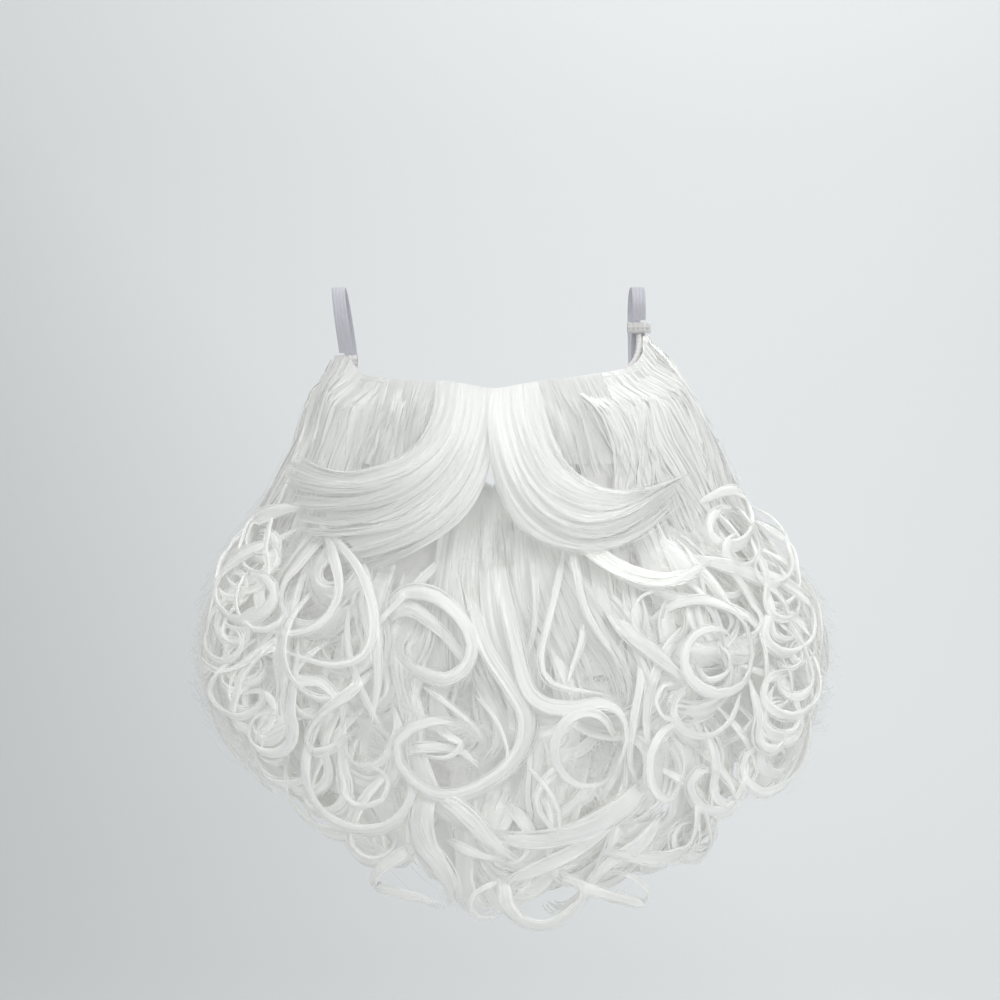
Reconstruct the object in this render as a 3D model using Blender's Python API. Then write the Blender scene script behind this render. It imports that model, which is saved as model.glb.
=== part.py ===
"""A curly white fake beard with a moustache, on a fabric backing with two elastic ear loops.

Metres, +Z up. The wearer faces -Y, and left is -X, as seen from in front.
The origin is midway between the ears, at the top of the ear loops.
"""

import math
from collections import namedtuple

import bmesh
import bpy
from mathutils import Vector

# Driving dimensions
GAP = 0.0003               # clearance between touching pieces
FABRIC = 0.0015            # thickness of the backing
BACKING_BACK_ANGLE = 90    # the backing reaches this far round from the front, in degrees
MOUTH_HALF_WIDTH = 0.024
MOUTH_HALF_HEIGHT = 0.014
MOUTH_DOWN = 0.094         # centre of the mouth opening below the origin
MOUTH_CUT_FRONT = -0.120   # the mouth opening is cut from here
MOUTH_CUT_BACK = -0.070    # to here
MOUTH_SIDES = 20
BACKING_COLUMNS = 24
BACKING_ROWS = 7

# Locks
LOCK_SIDES = 5
LOCK_FLATNESS = 0.45       # thickness of a lock as a share of its width
LOCK_ROOT_WIDTH = 0.55     # width at the root as a share of the lock's width
LOCK_TIP_WIDTH = 0.45      # width at the tip as a share of the lock's width
FALL_SECTIONS = 4          # sections from the root to the start of the curl
DEGREES_PER_SECTION = 34   # how far a curl turns between two sections
APPROACH = 0.5             # how straight a lock runs into its curl
ROOT_SINK = 0.018          # how deep a lock starts inside the hair that carries it
ROOT_SINK_SHARE = 0.55     # the same, at most, as a share of the hair's depth
RISE_SHARE = 0.45          # share of its fall over which a lock comes out of the hair
TIP_SETTLE = 0.5           # share of a lock's lift that is left at its tip
COIL_RISE_TURN = 500       # degrees of curl over which a lock moves out by its own width
COIL_ROLL_SHARE = 0.2      # how far a lock rolls on its edge as it curls, as a share of the turn
COIL_ROLL_LIMIT = 55       # the same, at most, in degrees
REAR_INSET = 0.007         # how far the curls at the side lie inside the hair's outer form
ARC_RADIUS = 0.130         # radius at which places round the hair are measured along its arc
OUTWARD_AXIS = 0.7         # a lock points away from a line this far to the hair's widest place
WIDEST_SHARE = 0.98        # a place in the front view counts at most this share of the half width

# Pads of straight hair that carry the locks
RIDGE = 0.05               # height of their ridges as a share of the hair's depth
TIP_STEP = 0.004           # how far the ridges hang below the furrows
ROW_CROWDING = 1.35        # rows lie closer together at the top by this power
PAD_CLEARANCE = 0.0016     # room between the backing and the flat facets of the hair on it
PAD_TOP_START = 0.001      # the hair starts this far below the backing's top edge
PAD_SIDE_EDGE = 0.86       # thickness at the side edges as a share of the rest
PAD_TOP_EDGE = 0.7         # thickness at the top as a share of the rest
PAD_TOP_SHARE = 0.33       # share of the fall over which the top thickens
PAD_LOW_EDGE = 0.55        # thickness at the lower edge as a share of the rest
PAD_LOW_POWER = 5          # how late the hair thins towards its lower edge
PAD_NARROW_SHARE = 0.31    # share of the fall over which a pad reaches its lower front angle
HANG_LIFT = 0.10           # the hanging hair keeps this share of its depth clear of its inner side
HANG_TIP = 0.2             # and at the lower edge this much more
HANG_TIP_POWER = 6
HANG_START = 0.03          # height over which the hair leaves the chin
CORNER_GROWTH = 1.8        # a pad's corners move out by this times the growth of its faces

# Room kept for the head inside the hair
HEAD_TOP = -0.015
HEAD_BACK = 0.030
HEAD_ROWS = 30
HEAD_STEP = 6              # degrees between two of its corners

# Ear loops and the tabs that hold them
ELASTIC_WIDTH = 0.007
ELASTIC_THICKNESS = 0.0012
LOOP_BOTTOM = 0.049        # how far the elastic reaches below the origin, behind the ear
LOOP_LEAN_LEFT = -0.0050   # how far the left loop leans out from its tab to its top
LOOP_LEAN_RIGHT = 0.0
LOOP_END_BOW = 0.0012      # how far the elastic bows clear of the tab below its back end
LOOP_STEPS = 4             # sections of the elastic for each stretch of its route
TAB_LENGTH = 0.012
TAB_DIAMETER = 0.0068
TAB_DEPTH_SHARE = 0.85     # the rolled tab is this much less deep than high
TAB_ANGLE = 88             # where on the backing the tab's middle lies
TAB_SIDES = 12

WELD = 0.000001            # distance at which points left by a Boolean are merged
SHARP_ANGLE = 50           # edges sharper than this many degrees are shaded as creases
HAIR_COLOUR = (0.88, 0.88, 0.89)
HAIR_ROUGHNESS = 0.45
CLOTH_COLOUR = (0.84, 0.83, 0.82)
CLOTH_ROUGHNESS = 0.90
ELASTIC_COLOUR = (0.80, 0.79, 0.86)
ELASTIC_ROUGHNESS = 0.70

# The face under the backing: its half width and its depth in front of the ears, going down
FaceRow = namedtuple("FaceRow", "down half_width front")
FACE = (
    FaceRow(-0.020, 0.0760, 0.086),
    FaceRow(0.040, 0.0760, 0.094),
    FaceRow(0.060, 0.0750, 0.098),
    FaceRow(0.095, 0.0700, 0.099),
    FaceRow(0.130, 0.0610, 0.098),
    FaceRow(0.146, 0.0545, 0.092),
    FaceRow(0.160, 0.0440, 0.078),
)

# Top and bottom edge of the backing, by the angle round from the front
EdgeRow = namedtuple("EdgeRow", "angle top bottom")
EDGES = (
    EdgeRow(-90, 0.043, 0.112),
    EdgeRow(-65, 0.050, 0.130),
    EdgeRow(-35, 0.056, 0.150),
    EdgeRow(0, 0.061, 0.158),
    EdgeRow(35, 0.054, 0.150),
    EdgeRow(65, 0.045, 0.130),
    EdgeRow(90, 0.025, 0.112),
)

# Outer form of the hair: half width to each side, depth in front of the ears, and how far
# forward the widest place lies
HairRow = namedtuple("HairRow", "down left right front axis")
HAIR = (
    HairRow(0.015, 0.082, 0.084, 0.092, 0.000),
    HairRow(0.040, 0.088, 0.094, 0.101, 0.000),
    HairRow(0.062, 0.097, 0.108, 0.107, 0.002),
    HairRow(0.088, 0.106, 0.122, 0.110, 0.008),
    HairRow(0.113, 0.120, 0.132, 0.116, 0.015),
    HairRow(0.140, 0.137, 0.151, 0.126, 0.028),
    HairRow(0.165, 0.147, 0.167, 0.134, 0.038),
    HairRow(0.190, 0.151, 0.171, 0.140, 0.045),
    HairRow(0.215, 0.146, 0.168, 0.143, 0.050),
    HairRow(0.240, 0.130, 0.158, 0.143, 0.052),
    HairRow(0.266, 0.108, 0.138, 0.138, 0.055),
    HairRow(0.290, 0.084, 0.104, 0.130, 0.060),
    HairRow(0.310, 0.060, 0.080, 0.122, 0.065),
)

# Inner side of the hair where it hangs free below the chin
InnerRow = namedtuple("InnerRow", "down half_width front axis")
INNER = (
    InnerRow(0.146, 0.0563, 0.0938, 0.000),
    InnerRow(0.170, 0.074, 0.092, 0.012),
    InnerRow(0.200, 0.092, 0.094, 0.030),
    InnerRow(0.230, 0.092, 0.096, 0.040),
    InnerRow(0.260, 0.078, 0.098, 0.050),
    InnerRow(0.310, 0.040, 0.100, 0.065),
)

# A lock falls from its root past a bend into a curl. Places are in the front view: x and the
# distance below the origin. The curl turns about its centre from the start angle, and its
# radius goes from reach to coil. Lift is how far the lock stands in front of the hair.
Lock = namedtuple(
    "Lock", "root_x root_down bend_x bend_down curl_x curl_down start turn reach coil width lift"
)

MOUSTACHE_LEFT = (
    Lock(-0.010, 0.064, -0.006, 0.079, -0.056, 0.094, 0, -78, 0.050, 0.058, 0.021, 0.012),
    Lock(-0.017, 0.064, -0.012, 0.080, -0.054, 0.094, -4, -115, 0.041, 0.046, 0.025, 0.016),
    Lock(-0.025, 0.063, -0.020, 0.078, -0.052, 0.090, 0, -140, 0.032, 0.040, 0.025, 0.016),
    Lock(-0.034, 0.061, -0.030, 0.068, -0.056, 0.078, 5, -148, 0.027, 0.037, 0.018, 0.012),
)
MOUSTACHE_RIGHT = (
    Lock(0.010, 0.064, 0.006, 0.077, 0.050, 0.090, 180, 126, 0.044, 0.036, 0.021, 0.012),
    Lock(0.017, 0.063, 0.013, 0.078, 0.051, 0.090, 184, 120, 0.037, 0.036, 0.024, 0.016),
    Lock(0.027, 0.062, 0.023, 0.073, 0.054, 0.084, 180, 130, 0.031, 0.037, 0.024, 0.016),
    Lock(0.038, 0.060, 0.035, 0.066, 0.064, 0.072, 180, 128, 0.029, 0.040, 0.018, 0.012),
)
CHIN = (
    Lock(0.004, 0.116, 0.004, 0.176, -0.015, 0.226, 20, -290, 0.031, 0.017, 0.018, 0.008),
    Lock(0.016, 0.122, 0.009, 0.199, 0.046, 0.221, 112, -170, 0.018, 0.017, 0.012, 0.008),
    Lock(0.037, 0.140, 0.055, 0.185, 0.042, 0.224, 60, 285, 0.0150, 0.0125, 0.011, 0.006),
    Lock(0.037, 0.136, 0.036, 0.150, 0.072, 0.152, 178, 62, 0.034, 0.034, 0.011, 0.004),
    Lock(-0.044, 0.142, -0.040, 0.150, -0.030, 0.177, 112, -275, 0.020, 0.016, 0.016, 0.008),
    Lock(0.020, 0.200, -0.004, 0.270, 0.024, 0.290, 165, 235, 0.019, 0.014, 0.014, 0.008),
    Lock(-0.036, 0.225, -0.032, 0.248, -0.025, 0.278, 88, -66, 0.028, 0.027, 0.014, 0.010),
    Lock(-0.026, 0.225, -0.036, 0.262, -0.005, 0.268, 180, 72, 0.026, 0.026, 0.018, 0.006),
    Lock(-0.030, 0.240, -0.026, 0.266, -0.045, 0.282, 118, 205, 0.012, 0.016, 0.012, 0.004),
    Lock(0.048, 0.215, 0.069, 0.244, 0.022, 0.252, -5, -98, 0.039, 0.037, 0.019, 0.006),
    Lock(0.031, 0.250, 0.026, 0.284, 0.056, 0.284, 200, 225, 0.019, 0.010, 0.012, 0.004),
)
SIDE_LEFT = (
    Lock(-0.076, 0.060, -0.092, 0.085, -0.080, 0.128, 168, 70, 0.028, 0.024, 0.022, 0.000),
    Lock(-0.076, 0.122, -0.058, 0.141, -0.077, 0.170, 15, -150, 0.0220, 0.028, 0.011, 0.008),
    Lock(-0.082, 0.120, -0.069, 0.146, -0.089, 0.154, -5, -98, 0.018, 0.020, 0.014, 0.005),
    Lock(-0.098, 0.112, -0.106, 0.132, -0.118, 0.158, 75, 165, 0.017, 0.014, 0.016, 0.004),
    Lock(-0.060, 0.148, -0.053, 0.180, -0.029, 0.221, 178, 32, 0.026, 0.026, 0.014, 0.003),
    Lock(-0.062, 0.178, -0.048, 0.196, -0.028, 0.229, 112, -82, 0.027, 0.026, 0.014, 0.004),
    Lock(-0.066, 0.175, -0.058, 0.197, -0.076, 0.217, 150, 225, 0.014, 0.011, 0.011, 0.006),
    Lock(-0.078, 0.196, -0.092, 0.226, -0.061, 0.242, 180, 165, 0.024, 0.020, 0.015, 0.002),
    Lock(-0.110, 0.155, -0.134, 0.186, -0.120, 0.203, 178, 195, 0.018, 0.014, 0.015, 0.000),
    Lock(-0.098, 0.188, -0.116, 0.222, -0.090, 0.236, 185, 105, 0.023, 0.020, 0.015, 0.000),
)
SIDE_RIGHT = (
    Lock(0.080, 0.056, 0.104, 0.070, 0.094, 0.118, 10, -70, 0.030, 0.026, 0.022, 0.000),
    Lock(0.064, 0.122, 0.050, 0.141, 0.076, 0.134, 200, 110, 0.022, 0.022, 0.014, 0.008),
    Lock(0.068, 0.150, 0.068, 0.178, 0.098, 0.184, 150, -190, 0.024, 0.023, 0.014, 0.004),
    Lock(0.112, 0.152, 0.128, 0.174, 0.104, 0.187, 55, 285, 0.0165, 0.0135, 0.009, 0.006),
    Lock(0.120, 0.178, 0.126, 0.200, 0.099, 0.210, 30, -230, 0.015, 0.011, 0.009, 0.004),
    Lock(0.092, 0.128, 0.098, 0.142, 0.117, 0.172, 105, -172, 0.025, 0.022, 0.016, 0.002),
    Lock(0.112, 0.118, 0.138, 0.132, 0.141, 0.168, 60, -200, 0.019, 0.016, 0.018, 0.000),
    Lock(0.128, 0.158, 0.157, 0.178, 0.143, 0.204, 30, -205, 0.021, 0.016, 0.018, 0.000),
    Lock(0.124, 0.195, 0.152, 0.219, 0.132, 0.238, 15, -200, 0.021, 0.016, 0.016, 0.000),
    Lock(0.090, 0.198, 0.096, 0.238, 0.074, 0.252, 5, -128, 0.019, 0.020, 0.015, 0.004),
    Lock(0.084, 0.190, 0.094, 0.216, 0.080, 0.231, 45, -270, 0.0125, 0.0100, 0.011, 0.006),
)

# Pads: angles round from the front of the first and the last edge, at the top and below, the top
# edge if it isn't the backing's, the bottom at the front, how far it rises to the last angle, and
# the thickness as a share of the hair's depth
Pad = namedtuple(
    "Pad", "first_top first_low last_top last_low top bottom rise fill columns rows"
)
MOUSTACHE_PAD = Pad(1.2, 1.2, 29, 29, None, 0.079, 0.0, 1.0, 5, 2)
SIDE_PAD = Pad(30, 23.2, 86, 104, None, 0.246, 0.014, 0.93, 11, 7)
CHIN_PAD = Pad(-22.6, -22.6, 22.6, 22.6, 0.111, 0.286, 0.014, 0.93, 9, 6)

# Curls that hang at the side and behind the front view's edge: the angle round from the front,
# the drop of the curl's centre and its radius
RearCurl = namedtuple("RearCurl", "angle drop radius")
REAR = (
    RearCurl(70, 0.216, 0.019),
    RearCurl(82, 0.176, 0.018),
    RearCurl(90, 0.226, 0.020),
    RearCurl(101, 0.190, 0.017),
)
# The form of these curls on the right-hand side, in radii from the curl's centre
REAR_FORM = Lock(-0.4, -4.2, 1.2, -2.4, 0, 0, 20, -235, 1.0, 0.8, 0.9, -REAR_INSET)

# Route of the ear elastic in side view, from the top of the tab round the ear to the back of
# the tab: distance behind the ear line, and height between the tab (0) and the top (1) or the
# bottom (-1) of the loop
LoopPoint = namedtuple("LoopPoint", "back height")
LOOP_ROUTE = (
    LoopPoint(-0.0035, 0.50),
    LoopPoint(0.0030, 0.90),
    LoopPoint(0.0140, 1.00),
    LoopPoint(0.0260, 0.86),
    LoopPoint(0.0330, 0.45),
    LoopPoint(0.0320, -0.06),
    LoopPoint(0.0220, -1.00),
    LoopPoint(0.0090, -0.84),
)

# Sections of the rolled tab: place along it as a share of its length, and share of its diameter
TabSection = namedtuple("TabSection", "along size")
TAB_SECTIONS = (
    TabSection(-0.50, 0.72),
    TabSection(-0.42, 1.00),
    TabSection(0.42, 1.00),
    TabSection(0.50, 0.72),
)


def hermite(low, high, slope_low, slope_high, t):
    """Value on a cubic between two values with given slopes."""
    return (
        low * (2 * t**3 - 3 * t**2 + 1)
        + slope_low * (t**3 - 2 * t**2 + t)
        + high * (3 * t**2 - 2 * t**3)
        + slope_high * (t**3 - t**2)
    )


def row_at(rows, key):
    """The other columns of a table at a value of its first column, on smooth curves."""
    key = min(max(key, rows[0][0]), rows[-1][0])
    index = max(i for i in range(len(rows) - 1) if rows[i][0] <= key)
    low = rows[index]
    high = rows[index + 1]
    before = rows[max(index - 1, 0)]
    after = rows[min(index + 2, len(rows) - 1)]
    step = high[0] - low[0]
    t = (key - low[0]) / step
    values = []
    for column in range(1, len(low)):
        slope_low = (high[column] - before[column]) / (high[0] - before[0]) * step
        slope_high = (after[column] - low[column]) / (after[0] - low[0]) * step
        values.append(hermite(low[column], high[column], slope_low, slope_high, t))
    return values


def smooth(t):
    """A soft step from 0 to 1."""
    t = min(max(t, 0.0), 1.0)
    return t * t * (3 - 2 * t)


def mix(a, b, t):
    """A value between two others."""
    return a + (b - a) * t


def face_point(angle, down, out):
    """A point at a distance outside the face, by the angle round from the front."""
    half_width, front = row_at(FACE, down)
    turn = math.radians(angle)
    return Vector(((half_width + out) * math.sin(turn), -(front + out) * math.cos(turn), -down))


def hair_point(angle, down, fill):
    """A point between the inner (fill 0) and the outer side (fill 1) of the hair."""
    turn = math.radians(angle)
    left, right, front, axis = row_at(HAIR, down)
    half = right if angle > 0 else left
    outer = Vector((half * math.sin(turn), -axis - (front - axis) * math.cos(turn), -down))
    if down < INNER[0].down:
        inner = face_point(angle, down, FABRIC + PAD_CLEARANCE)
    else:
        half, front, axis = row_at(INNER, down)
        inner = Vector((half * math.sin(turn), -axis - (front - axis) * math.cos(turn), -down))
    return inner.lerp(outer, fill)


def front_angle(x, down):
    """The angle round the hair of a place in the front view."""
    left, right, front, axis = row_at(HAIR, down)
    share = min(abs(x) / (right if x > 0 else left), WIDEST_SHARE)
    return math.copysign(math.degrees(math.asin(share)), x)


def on_hair(angle, down, lift=0.0):
    """A place on the outer side of the hair moved out by lift, and the way out there."""
    place = hair_point(angle, down, 1.0)
    axis = row_at(HAIR, down)[3]
    out = Vector((place.x, place.y + axis * OUTWARD_AXIS, 0)).normalized()
    return place + out * lift, out


def hair_depth(angle, down):
    """How thick the hair is."""
    return (hair_point(angle, down, 1.0) - hair_point(angle, down, 0.0)).length


def new_object(name, mesh):
    """An object of a mesh, linked to the scene."""
    obj = bpy.data.objects.new(name, mesh)
    bpy.context.scene.collection.objects.link(obj)
    return obj


def mesh_from(name, vertices, faces):
    """A mesh of points and faces."""
    mesh = bpy.data.meshes.new(name)
    mesh.from_pydata([tuple(v) for v in vertices], [], faces)
    mesh.update()
    return mesh


def tube(name, rings):
    """A closed mesh through rings of points, with flat ends."""
    sides = len(rings[0])
    vertices = [point for ring in rings for point in ring]
    faces = [tuple(reversed(range(sides)))]
    for ring in range(len(rings) - 1):
        for side in range(sides):
            here = ring * sides + side
            beside = ring * sides + (side + 1) % sides
            faces.append((here, beside, beside + sides, here + sides))
    last = (len(rings) - 1) * sides
    faces.append(tuple(last + side for side in range(sides)))
    obj = new_object(name, mesh_from(name, vertices, faces))
    point_faces_out(obj)
    return obj


def shell(name, inner, outer):
    """A closed mesh between two grids of points of the same size."""
    rows = len(inner)
    columns = len(inner[0])
    count = rows * columns
    vertices = [point for row in inner for point in row] + [point for row in outer for point in row]
    faces = []
    for row in range(rows - 1):
        for column in range(columns - 1):
            a = row * columns + column
            faces.append((a, a + 1, a + columns + 1, a + columns))
            faces.append(tuple(count + i for i in (a, a + columns, a + columns + 1, a + 1)))
    rim = [(0, column) for column in range(columns)]
    rim += [(row, columns - 1) for row in range(1, rows)]
    rim += [(rows - 1, column) for column in range(columns - 2, -1, -1)]
    rim += [(row, 0) for row in range(rows - 2, 0, -1)]
    loop = [row * columns + column for row, column in rim]
    for here, there in zip(loop, loop[1:] + loop[:1]):
        faces.append((there, here, count + here, count + there))
    obj = new_object(name, mesh_from(name, vertices, faces))
    point_faces_out(obj)
    return obj


def point_faces_out(obj):
    """Turn the faces of a closed mesh outwards and cut them into triangles."""
    work = bmesh.new()
    work.from_mesh(obj.data)
    bmesh.ops.recalc_face_normals(work, faces=work.faces)
    if work.calc_volume(signed=True) < 0:
        bmesh.ops.reverse_faces(work, faces=work.faces)
    bmesh.ops.triangulate(work, faces=work.faces)
    work.to_mesh(obj.data)
    work.free()


def is_closed(mesh):
    """Whether a mesh has faces and each edge lies between exactly two of them."""
    work = bmesh.new()
    work.from_mesh(mesh)
    closed = len(work.faces) > 0 and all(edge.is_manifold for edge in work.edges)
    work.free()
    return closed


def combine(obj, other, operation, keep_other=False):
    """Boolean of two closed objects, applied to the first."""
    modifier = obj.modifiers.new(operation.lower(), "BOOLEAN")
    modifier.operation = operation
    modifier.object = other
    for solver in ("EXACT", "MANIFOLD"):
        modifier.solver = solver
        depsgraph = bpy.context.evaluated_depsgraph_get()
        evaluated = obj.evaluated_get(depsgraph)
        result = bpy.data.meshes.new_from_object(evaluated, depsgraph=depsgraph)
        if is_closed(result):
            break
    obj.modifiers.remove(modifier)
    obj.data = result
    if not keep_other:
        bpy.data.objects.remove(other)


def keep_main_body(obj):
    """Weld the mesh, and leave only its largest body: no cut-off scraps and no sealed hollows."""
    work = bmesh.new()
    work.from_mesh(obj.data)
    bmesh.ops.triangulate(work, faces=work.faces)
    bmesh.ops.remove_doubles(work, verts=work.verts, dist=WELD)
    unseen = set(work.faces)
    bodies = []
    while unseen:
        stack = [unseen.pop()]
        body = []
        while stack:
            face = stack.pop()
            body.append(face)
            for edge in face.edges:
                for neighbour in edge.link_faces:
                    if neighbour in unseen:
                        unseen.remove(neighbour)
                        stack.append(neighbour)
        volume = 0.0
        for face in body:
            a, b, c = (vert.co for vert in face.verts)
            volume += a.dot(b.cross(c)) / 6
        bodies.append((volume, body))
    bodies.sort(key=lambda entry: entry[0], reverse=True)
    scraps = [face for volume, body in bodies[1:] for face in body]
    bmesh.ops.delete(work, geom=scraps, context="FACES")
    work.to_mesh(obj.data)
    work.free()


def lock_centre_line(lock):
    """Points of a lock in the front view, with how far each is along its fall and its curl."""
    start = math.radians(lock.start)
    turn = math.radians(lock.turn)
    centre = Vector((lock.curl_x, -lock.curl_down))
    entry = centre + lock.reach * Vector((math.cos(start), math.sin(start)))
    heading = math.copysign(1, turn) * Vector((-math.sin(start), math.cos(start)))
    root = Vector((lock.root_x, -lock.root_down))
    bend = Vector((lock.bend_x, -lock.bend_down))
    approach = entry - heading * (entry - bend).length * APPROACH
    curl_steps = max(3, round(abs(lock.turn) / DEGREES_PER_SECTION))
    points = []
    for step in range(FALL_SECTIONS):
        t = step / FALL_SECTIONS
        place = (
            root * (1 - t) ** 3
            + bend * 3 * t * (1 - t) ** 2
            + approach * 3 * t * t * (1 - t)
            + entry * t**3
        )
        points.append((place, t, 0.0))
    for step in range(curl_steps + 1):
        t = step / curl_steps
        angle = start + turn * t
        radius = mix(lock.reach, lock.coil, t)
        points.append((centre + radius * Vector((math.cos(angle), math.sin(angle))), 1.0, t))
    return points


def lock_solid(name, lock, grow, unrolled=False):
    """One lock as a flattened, tapering tube along its centre line.

    Across, a lock lies by its place in the front view, or by its arc round the hair if unrolled.
    """
    line = lock_centre_line(lock)
    places = []
    outs = []
    for place, fallen, curled in line:
        down = -place.y
        angle = math.degrees(place.x / ARC_RADIUS) if unrolled else front_angle(place.x, down)
        sink = min(ROOT_SINK, hair_depth(angle, down) * ROOT_SINK_SHARE)
        settled = mix(lock.lift, lock.lift * TIP_SETTLE, curled)
        lift = mix(-sink, settled, smooth(fallen / RISE_SHARE))
        lift += curled * lock.width * abs(lock.turn) / COIL_RISE_TURN
        place, out = on_hair(angle, down, lift)
        places.append(place)
        outs.append(out)
    rings = []
    last = len(places) - 1
    for index, place in enumerate(places):
        ahead = (places[min(index + 1, last)] - places[max(index - 1, 0)]).normalized()
        out = (outs[index] - ahead * outs[index].dot(ahead)).normalized()
        across = ahead.cross(out)
        fallen, curled = line[index][1:]
        full_roll = math.radians(min(abs(lock.turn) * COIL_ROLL_SHARE, COIL_ROLL_LIMIT))
        roll = full_roll * smooth(curled * 2)
        wide = across * math.cos(roll) + out * math.sin(roll)
        thin = out * math.cos(roll) - across * math.sin(roll)
        share = mix(LOCK_ROOT_WIDTH, 1.0, fallen) * mix(1.0, LOCK_TIP_WIDTH, curled**2)
        half = lock.width * share / 2
        ring = []
        for side in range(LOCK_SIDES):
            angle = 2 * math.pi * (side + 0.5) / LOCK_SIDES
            reach_wide = (half + grow) * math.cos(angle)
            reach_thin = (half * LOCK_FLATNESS + grow) * math.sin(angle)
            ring.append(place + wide * reach_wide + thin * reach_thin)
        rings.append(ring)
    if grow:
        for ring, inside in ((rings[0], places[1]), (rings[-1], places[-2])):
            middle = sum(ring, Vector()) / LOCK_SIDES
            away = (middle - inside).normalized() * grow
            ring[:] = [point + away for point in ring]
    return tube(name, rings)


def backing_top(angle):
    """How far below the origin the top edge of the backing lies."""
    return row_at(EDGES, angle)[0]


def hair_pad(name, pad, side, grow):
    """The ridged mass of straight hair that carries the locks, thin at its lower edge."""
    inner = []
    outer = []
    for row in range(pad.rows + 1):
        inner_row = []
        outer_row = []
        fallen = (row / pad.rows) ** ROW_CROWDING
        first = mix(pad.first_top, pad.first_low, smooth(fallen / PAD_NARROW_SHARE))
        last = mix(pad.last_top, pad.last_low, fallen)
        for column in range(pad.columns + 1):
            angle = side * mix(first, last, column / pad.columns)
            ridge = 1 if column % 2 else -1
            top = pad.top or backing_top(angle) + PAD_TOP_START
            bottom = pad.bottom - pad.rise * (angle / pad.last_low) ** 2
            down = mix(top, bottom + ridge * TIP_STEP, fallen)
            edge = PAD_SIDE_EDGE if column in (0, pad.columns) else 1.0
            top_edge = mix(PAD_TOP_EDGE, 1.0, smooth(fallen / PAD_TOP_SHARE))
            low_edge = mix(1.0, PAD_LOW_EDGE, fallen**PAD_LOW_POWER)
            thickness = pad.fill * top_edge * low_edge
            hang = smooth((down - INNER[0].down) / HANG_START)
            clear = HANG_LIFT - ridge * RIDGE + HANG_TIP * fallen**HANG_TIP_POWER
            inner_row.append(hair_point(angle, down, hang * clear))
            outer_row.append(hair_point(angle, down, (thickness + ridge * RIDGE) * edge))
        inner.append(inner_row)
        outer.append(outer_row)
    hair = shell(name, inner, outer)
    normals = [vertex.normal.copy() for vertex in hair.data.vertices]
    for vertex, normal in zip(hair.data.vertices, normals):
        vertex.co += normal * grow * CORNER_GROWTH
    return hair


def rear_locks(side):
    """The curls round the side of the hair, each falling into its turn from above."""
    form = REAR_FORM
    locks = []
    for curl in REAR:
        across = side * ARC_RADIUS * math.radians(curl.angle)
        locks.append(Lock(
            across + side * form.root_x * curl.radius,
            curl.drop + form.root_down * curl.radius,
            across + side * form.bend_x * curl.radius,
            curl.drop + form.bend_down * curl.radius,
            across,
            curl.drop,
            form.start if side > 0 else 180 - form.start,
            side * form.turn,
            form.reach * curl.radius,
            form.coil * curl.radius,
            form.width * curl.radius,
            form.lift,
        ))
    return locks


def fused_hair(name, pad, side, locks, rear, grow):
    """The pad of a group of hair with all its locks, as one body."""
    hair = hair_pad(name, pad, side, grow)
    for index, lock in enumerate(locks):
        combine(hair, lock_solid(f"{name}_lock_{index}", lock, grow), "UNION")
    for index, lock in enumerate(rear):
        combine(hair, lock_solid(f"{name}_rear_{index}", lock, grow, unrolled=True), "UNION")
    return hair


def head_space(name):
    """The room that the face and the backing take, which the hair keeps clear of."""
    rings = []
    angles = range(-BACKING_BACK_ANGLE, BACKING_BACK_ANGLE + 1, HEAD_STEP)
    for row in range(HEAD_ROWS + 1):
        down = mix(HEAD_TOP, FACE[-1].down, row / HEAD_ROWS)
        ring = [face_point(angle, down, FABRIC + GAP) for angle in angles]
        ring += [Vector((x, HEAD_BACK, -down)) for x in (ring[-1].x, ring[0].x)]
        rings.append(ring)
    return tube(name, rings)


def make_backing():
    """The fabric over the lip and the cheeks and under the chin, with its mouth opening."""
    inner = []
    outer = []
    for row in range(BACKING_ROWS + 1):
        inner_row = []
        outer_row = []
        for column in range(BACKING_COLUMNS + 1):
            angle = mix(-BACKING_BACK_ANGLE, BACKING_BACK_ANGLE, column / BACKING_COLUMNS)
            top, bottom = row_at(EDGES, angle)
            down = mix(top, bottom, row / BACKING_ROWS)
            inner_row.append(face_point(angle, down, 0.0))
            outer_row.append(face_point(angle, down, FABRIC))
        inner.append(inner_row)
        outer.append(outer_row)
    backing = shell("backing", inner, outer)
    rings = []
    for y in (MOUTH_CUT_FRONT, MOUTH_CUT_BACK):
        ring = []
        for side in range(MOUTH_SIDES):
            angle = 2 * math.pi * side / MOUTH_SIDES
            x = MOUTH_HALF_WIDTH * math.cos(angle)
            z = -MOUTH_DOWN + MOUTH_HALF_HEIGHT * math.sin(angle)
            ring.append(Vector((x, y, z)))
        rings.append(ring)
    combine(backing, tube("mouth_cutter", rings), "DIFFERENCE")
    keep_main_body(backing)
    return backing


def tab_centre(side):
    """Middle of the rolled tab, which rests just clear of the sloping top of the backing."""
    last = BACKING_BACK_ANGLE
    before = last - 2 * last / BACKING_COLUMNS
    low, high = (
        face_point(side * angle, backing_top(side * angle), FABRIC / 2) for angle in (before, last)
    )
    centre = low.lerp(high, (TAB_ANGLE - before) / (last - before))
    slope = (high.z - low.z) / (high.y - low.y)
    half = TAB_DIAMETER / 2
    centre.z += math.hypot(half, slope * half * TAB_DEPTH_SHARE) + GAP * math.hypot(1, slope)
    return centre


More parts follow.
